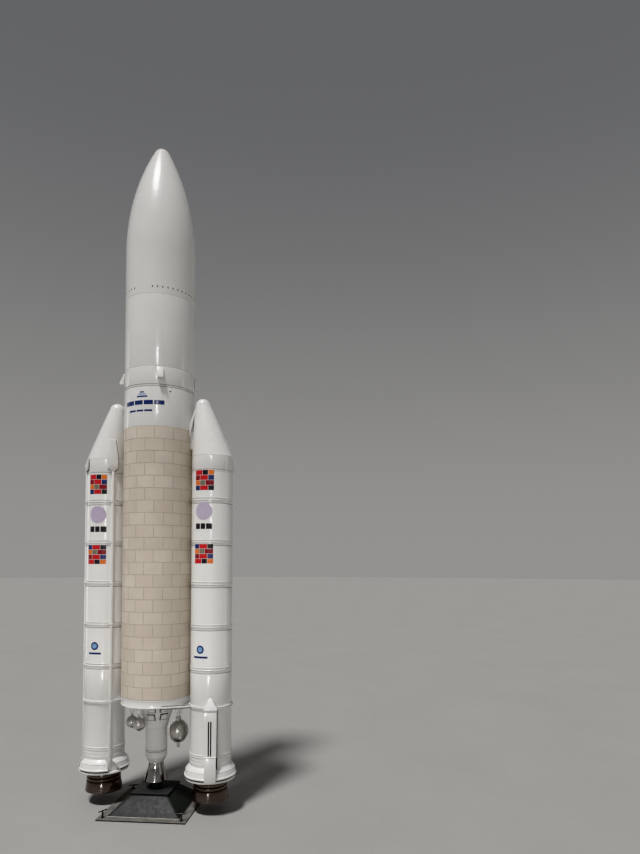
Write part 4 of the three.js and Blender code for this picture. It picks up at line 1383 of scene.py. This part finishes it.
# Actuator box: direction, half width, heights of the cap's top and foot and of the ledge, and how far its
# faces stand from the axis; its foot ends a lift above the lip's lower edge
ACTUATOR = {"at": -69.0, "half": 0.0375, "apex": 0.710, "shoulder": 0.640, "step": 0.3635, "lift": 0.012}
ACTUATOR_FACES = {"inner": BOOSTER_RADIUS - 0.012, "body": 0.156, "foot": 0.165}
ACTUATOR_SHADE_STRIP = {"from": 0.0365, "to": 0.0415, "low": 0.235}  # the dark strip down the box's right side, painted shadow
# Sideways middle of each slot from the box's centre line, and its lowest and highest point
SLOTS = ((-0.0093, 0.374, 0.577), (0.0040, 0.372, 0.577))
SLOT_HALF = 0.0036
SLOT_DEPTH = 0.009


def slab(name, reach, wide, low, high, side=0):
    """A block from inside the skirt out to a reach, between two heights."""
    inner = ACTUATOR_FACES["inner"]
    return block(name, (reach - inner, wide, high - low), ((reach + inner) / 2, side, (high + low) / 2))


def slotted_body():
    """The box's tall body with its two slots, their insides painted black as shade."""
    half, step, shoulder = ACTUATOR["half"], ACTUATOR["step"], ACTUATOR["shoulder"]
    face = ACTUATOR_FACES["body"]
    tall = coloured(slab("tall", face, 2 * half, step, shoulder), "gloss white", "slot black")
    edit_all(tall)
    cuts = [((0, side + edge, 0), (0, 1, 0)) for side, _, _ in SLOTS for edge in (-SLOT_HALF, SLOT_HALF)]
    cuts += [((0, 0, height), (0, 0, 1)) for height in sorted({end for slot in SLOTS for end in slot[1:]})]
    for place, way in cuts:
        bpy.ops.mesh.select_all(action="SELECT")
        bpy.ops.mesh.bisect(plane_co=place, plane_no=way)

    def in_slot(middle, normal):
        inside = (abs(middle.y - side) < SLOT_HALF and low < middle.z < high for side, low, high in SLOTS)
        return normal.x >= 0.9 and any(inside)

    choose(tall, "FACE", in_slot)
    bpy.ops.mesh.extrude_region_move(TRANSFORM_OT_translate={"value": (-SLOT_DEPTH, 0, 0)})
    tall.active_material_index = 1
    bpy.ops.object.material_slot_assign()
    leave()
    # the slots' side walls take the black too: painted shade
    for polygon in tall.data.polygons:
        x, y, z = polygon.center
        between = step + 0.002 < z < shoulder - 0.002 and abs(y) < half - 0.01
        if between and face - SLOT_DEPTH < x < face - 0.001:
            polygon.material_index = 1
    return bevelled(tall, 0.001, 2, 60)


def pointed_cap():
    """The box's cap, drawn to a point against the skirt."""
    half, apex, shoulder = ACTUATOR["half"], ACTUATOR["apex"], ACTUATOR["shoulder"]
    inner, reach = ACTUATOR_FACES["inner"], ACTUATOR_FACES["body"] + 0.004
    cap = slab("cap", reach, 2 * half + 0.006, shoulder, shoulder + 0.010)
    choose(cap, "FACE", lambda middle, normal: normal.z > 0.9)
    bpy.ops.mesh.extrude_region_move(TRANSFORM_OT_translate={"value": (0, 0, apex - shoulder - 0.010)})
    narrow = 0.004 / (half + 0.003)
    shallow = (BOOSTER_RADIUS + 0.002 - inner) / (reach - inner)
    bpy.ops.transform.resize(value=(shallow, narrow, 1), center_override=(inner, 0, apex))
    leave()
    return bevelled(cap, 0.0015)


def make_actuator():
    """The box on the aft skirt: pointed cap, tall body with two slots, ledge and wider foot."""
    half, step, face = ACTUATOR["half"], ACTUATOR["step"], ACTUATOR_FACES["foot"]
    bottom = span("right_actuator_box")[0] + ACTUATOR["lift"]
    start, end, low = (ACTUATOR_SHADE_STRIP[key] for key in ("from", "to", "low"))
    foot = bevelled(slab("foot", face - 0.001, 2 * half - 0.006, bottom, step), 0.0015)
    ledge = bevelled(slab("ledge", face, 2 * half - 0.002, step, step + 0.005), 0.0012)
    line = slab("line", face - 0.0025, 2 * half - 0.007, step - 0.0015, step + 0.001)
    top = ACTUATOR["shoulder"] - 0.004
    # a dark strip beside the box's right side: painted shadow
    gap = slab("gap", BOOSTER_RADIUS + 0.0022, end - start, low, top, (start + end) / 2)
    white = [coloured(part, "gloss white") for part in (foot, ledge, pointed_cap())]
    dark = [coloured(part, "panel gap and painted shade") for part in (line, gap)]
    box = joined("actuator", [slotted_body(), *white, *dark])
    on_both(placed(box, about(ACTUATOR["at"])), "actuator_housing", "actuator_box")


# Marks on the boosters: plain blocks of colour, in rows of (paint, share of the row's width)
BLOCK_ROWS = (
    (("mark red", 3), ("mark black", 2), ("mark orange", 2)),
    (("mark wine", 2), ("mark red", 3), ("mark navy", 2)),
    (("mark orange", 2), ("mark olive", 2), ("mark wine", 3)),
    (("mark navy", 2), ("mark red", 3), ("mark black", 2)),
)
BLOCK_GAP = 0.0022
BADGE_CORE = 0.62  # the inner disc's share of the badge's radius
MARK_PROUD = 0.0004
MARK_SUNK = 0.0006
MARK_STEP = 3  # degrees to a face of a wrapped bar
# Marks on each booster. Panels: direction, half width in degrees, lowest and highest point. Disc and
# badge: direction, height of the middle and radius. Bars: direction, half width and heights of the two
# rows of bars
BOOSTER_MARKS = {
    "left": {
        "panels": ((-87.0, 26.7, 1.950, 2.072), (-89.8, 29.2, 1.510, 1.629)),
        "disc": (-86.0, 1.820, 0.054),
        "bars": ((-85.4, 25.0, 1.711, 1.746), (-90.5, 19.0, 0.946, 0.958)),
        "badge": (-90.5, 0.998, 0.025),
    },
    "right": {
        "panels": ((-92.0, 28.0, 1.959, 2.081), (-93.0, 28.0, 1.516, 1.633)),
        "disc": (-93.0, 1.832, 0.054),
        "bars": ((-93.3, 24.7, 1.724, 1.758), (-99.8, 22.0, 0.946, 0.958)),
        "badge": (-99.8, 0.998, 0.025),
    },
}
# Parts of the two rows of bars: paint, and the shares of the row where each starts and ends
BAR_PARTS = (
    (("mark black", 0.0, 0.30), ("mark black", 0.35, 0.62), ("mark black", 0.67, 1.0)),
    (("mark navy", 0.0, 1.0),),
)
# Bars on the upper stage: directions, heights and paint
CORE_MARKS = (
    (-102, -83, 2.521, 2.530, "mark navy"),
    (-99, -86, 2.535, 2.543, "mark sky"),
    (-96, -89, 2.548, 2.556, "mark navy"),
    (-128, -108, 2.476, 2.502, "mark navy"),
    (-106, -91, 2.476, 2.502, "mark navy"),
    (-89, -74, 2.476, 2.502, "mark navy"),
    (-72, -56, 2.476, 2.502, "mark navy"),
    (-118, -104, 2.434, 2.445, "mark navy"),
    (-102, -90, 2.434, 2.445, "mark navy"),
    (-88, -75, 2.434, 2.445, "mark navy"),
)
PORT = (-46.6, 2.561, 0.0045)  # a small hole beside them, drawn as a flat black disc of painted shade: direction, height and radius


def wrapped(name, radius, start, end, low, high, steps, proud=MARK_PROUD):
    """A thin plate wrapped round a cylinder about the origin's axis."""
    inner, outer = radius - MARK_SUNK, radius + proud
    return swept(name, [(inner, low), (outer, low), (outer, high), (inner, high)], start, end, steps)


def mark_bar(radius, start, end, low, high, colour):
    steps = max(2, round((end - start) / MARK_STEP))
    return coloured(wrapped("bar", radius, start, end, low, high, steps), colour)


def mark_disc(radius, at, height, size, colour, proud=MARK_PROUD):
    """A round plate laid on a cylinder about the origin's axis: a wrapped plate cut by a round tool."""
    half = math.degrees(size / radius) + 1
    steps = max(4, round(half))
    disc = wrapped("disc", radius, at - half, at + half, height - size, height + size, steps, proud)
    tool = cylinder(SMALL_SIDES, size, 0.1)
    placed(tool, about(at) @ Matrix.Translation((radius, 0, height)) @ about(90, "Y"))
    apply(disc, "round", "BOOLEAN", operation="INTERSECT", solver="EXACT", object=tool)
    bpy.data.objects.remove(tool)
    return coloured(smooth(disc), colour)


def block_panel(at, half_angle, low, high, rows):
    """A panel of colour blocks round a direction, between two heights."""
    parts = []
    gap_angle = math.degrees(BLOCK_GAP / BOOSTER_RADIUS)
    row_height = (high - low - BLOCK_GAP * (len(rows) - 1)) / len(rows)
    for number, row in enumerate(rows):
        row_high = high - number * (row_height + BLOCK_GAP)
        free = 2 * half_angle - gap_angle * (len(row) - 1)
        start = at - half_angle
        for colour, share in row:
            end = start + free * share / sum(each for _, each in row)
            parts.append(mark_bar(BOOSTER_RADIUS, start, end, row_high - row_height, row_high, colour))
            start = end + gap_angle
    return parts


def make_marks():
    for side, marks in BOOSTER_MARKS.items():
        parts = []
        for panel, rows in zip(marks["panels"], (BLOCK_ROWS, BLOCK_ROWS[::-1])):
            parts += block_panel(*panel, rows)
        parts.append(mark_disc(BOOSTER_RADIUS, *marks["disc"], "mark mauve"))
        parts.append(mark_disc(BOOSTER_RADIUS, *marks["badge"], "mark navy"))
        at, height, size = marks["badge"]
        parts.append(mark_disc(BOOSTER_RADIUS, at, height, size * BADGE_CORE, "mark sky", MARK_PROUD * 2))
        for (at, half_angle, low, high), shares in zip(marks["bars"], BAR_PARTS):
            for colour, start, end in shares:
                first, last = at + half_angle * (2 * start - 1), at + half_angle * (2 * end - 1)
                parts.append(mark_bar(BOOSTER_RADIUS, first, last, low, high, colour))
        finished(placed(joined(f"{side}_marks", parts), Matrix.Translation((AXIS_X[side], 0, 0))))

    parts = [mark_bar(CORE_RADIUS, *bar) for bar in CORE_MARKS]
    # the port: a black disc, painted shade of a hole
    parts.append(mark_disc(CORE_RADIUS, *PORT, "slot black"))
    finished(joined("upper_stage_marks", parts))


make_camera()
make_floor()
make_lights()
make_stand()
make_screws()
make_engine()
make_thrust_cone()
make_tanks()
make_ovoid()
make_core()
make_fairing()
make_nozzle()
make_skirt()
make_case()
make_nose()
make_ducts()
make_fittings()
make_actuator()
make_marks()
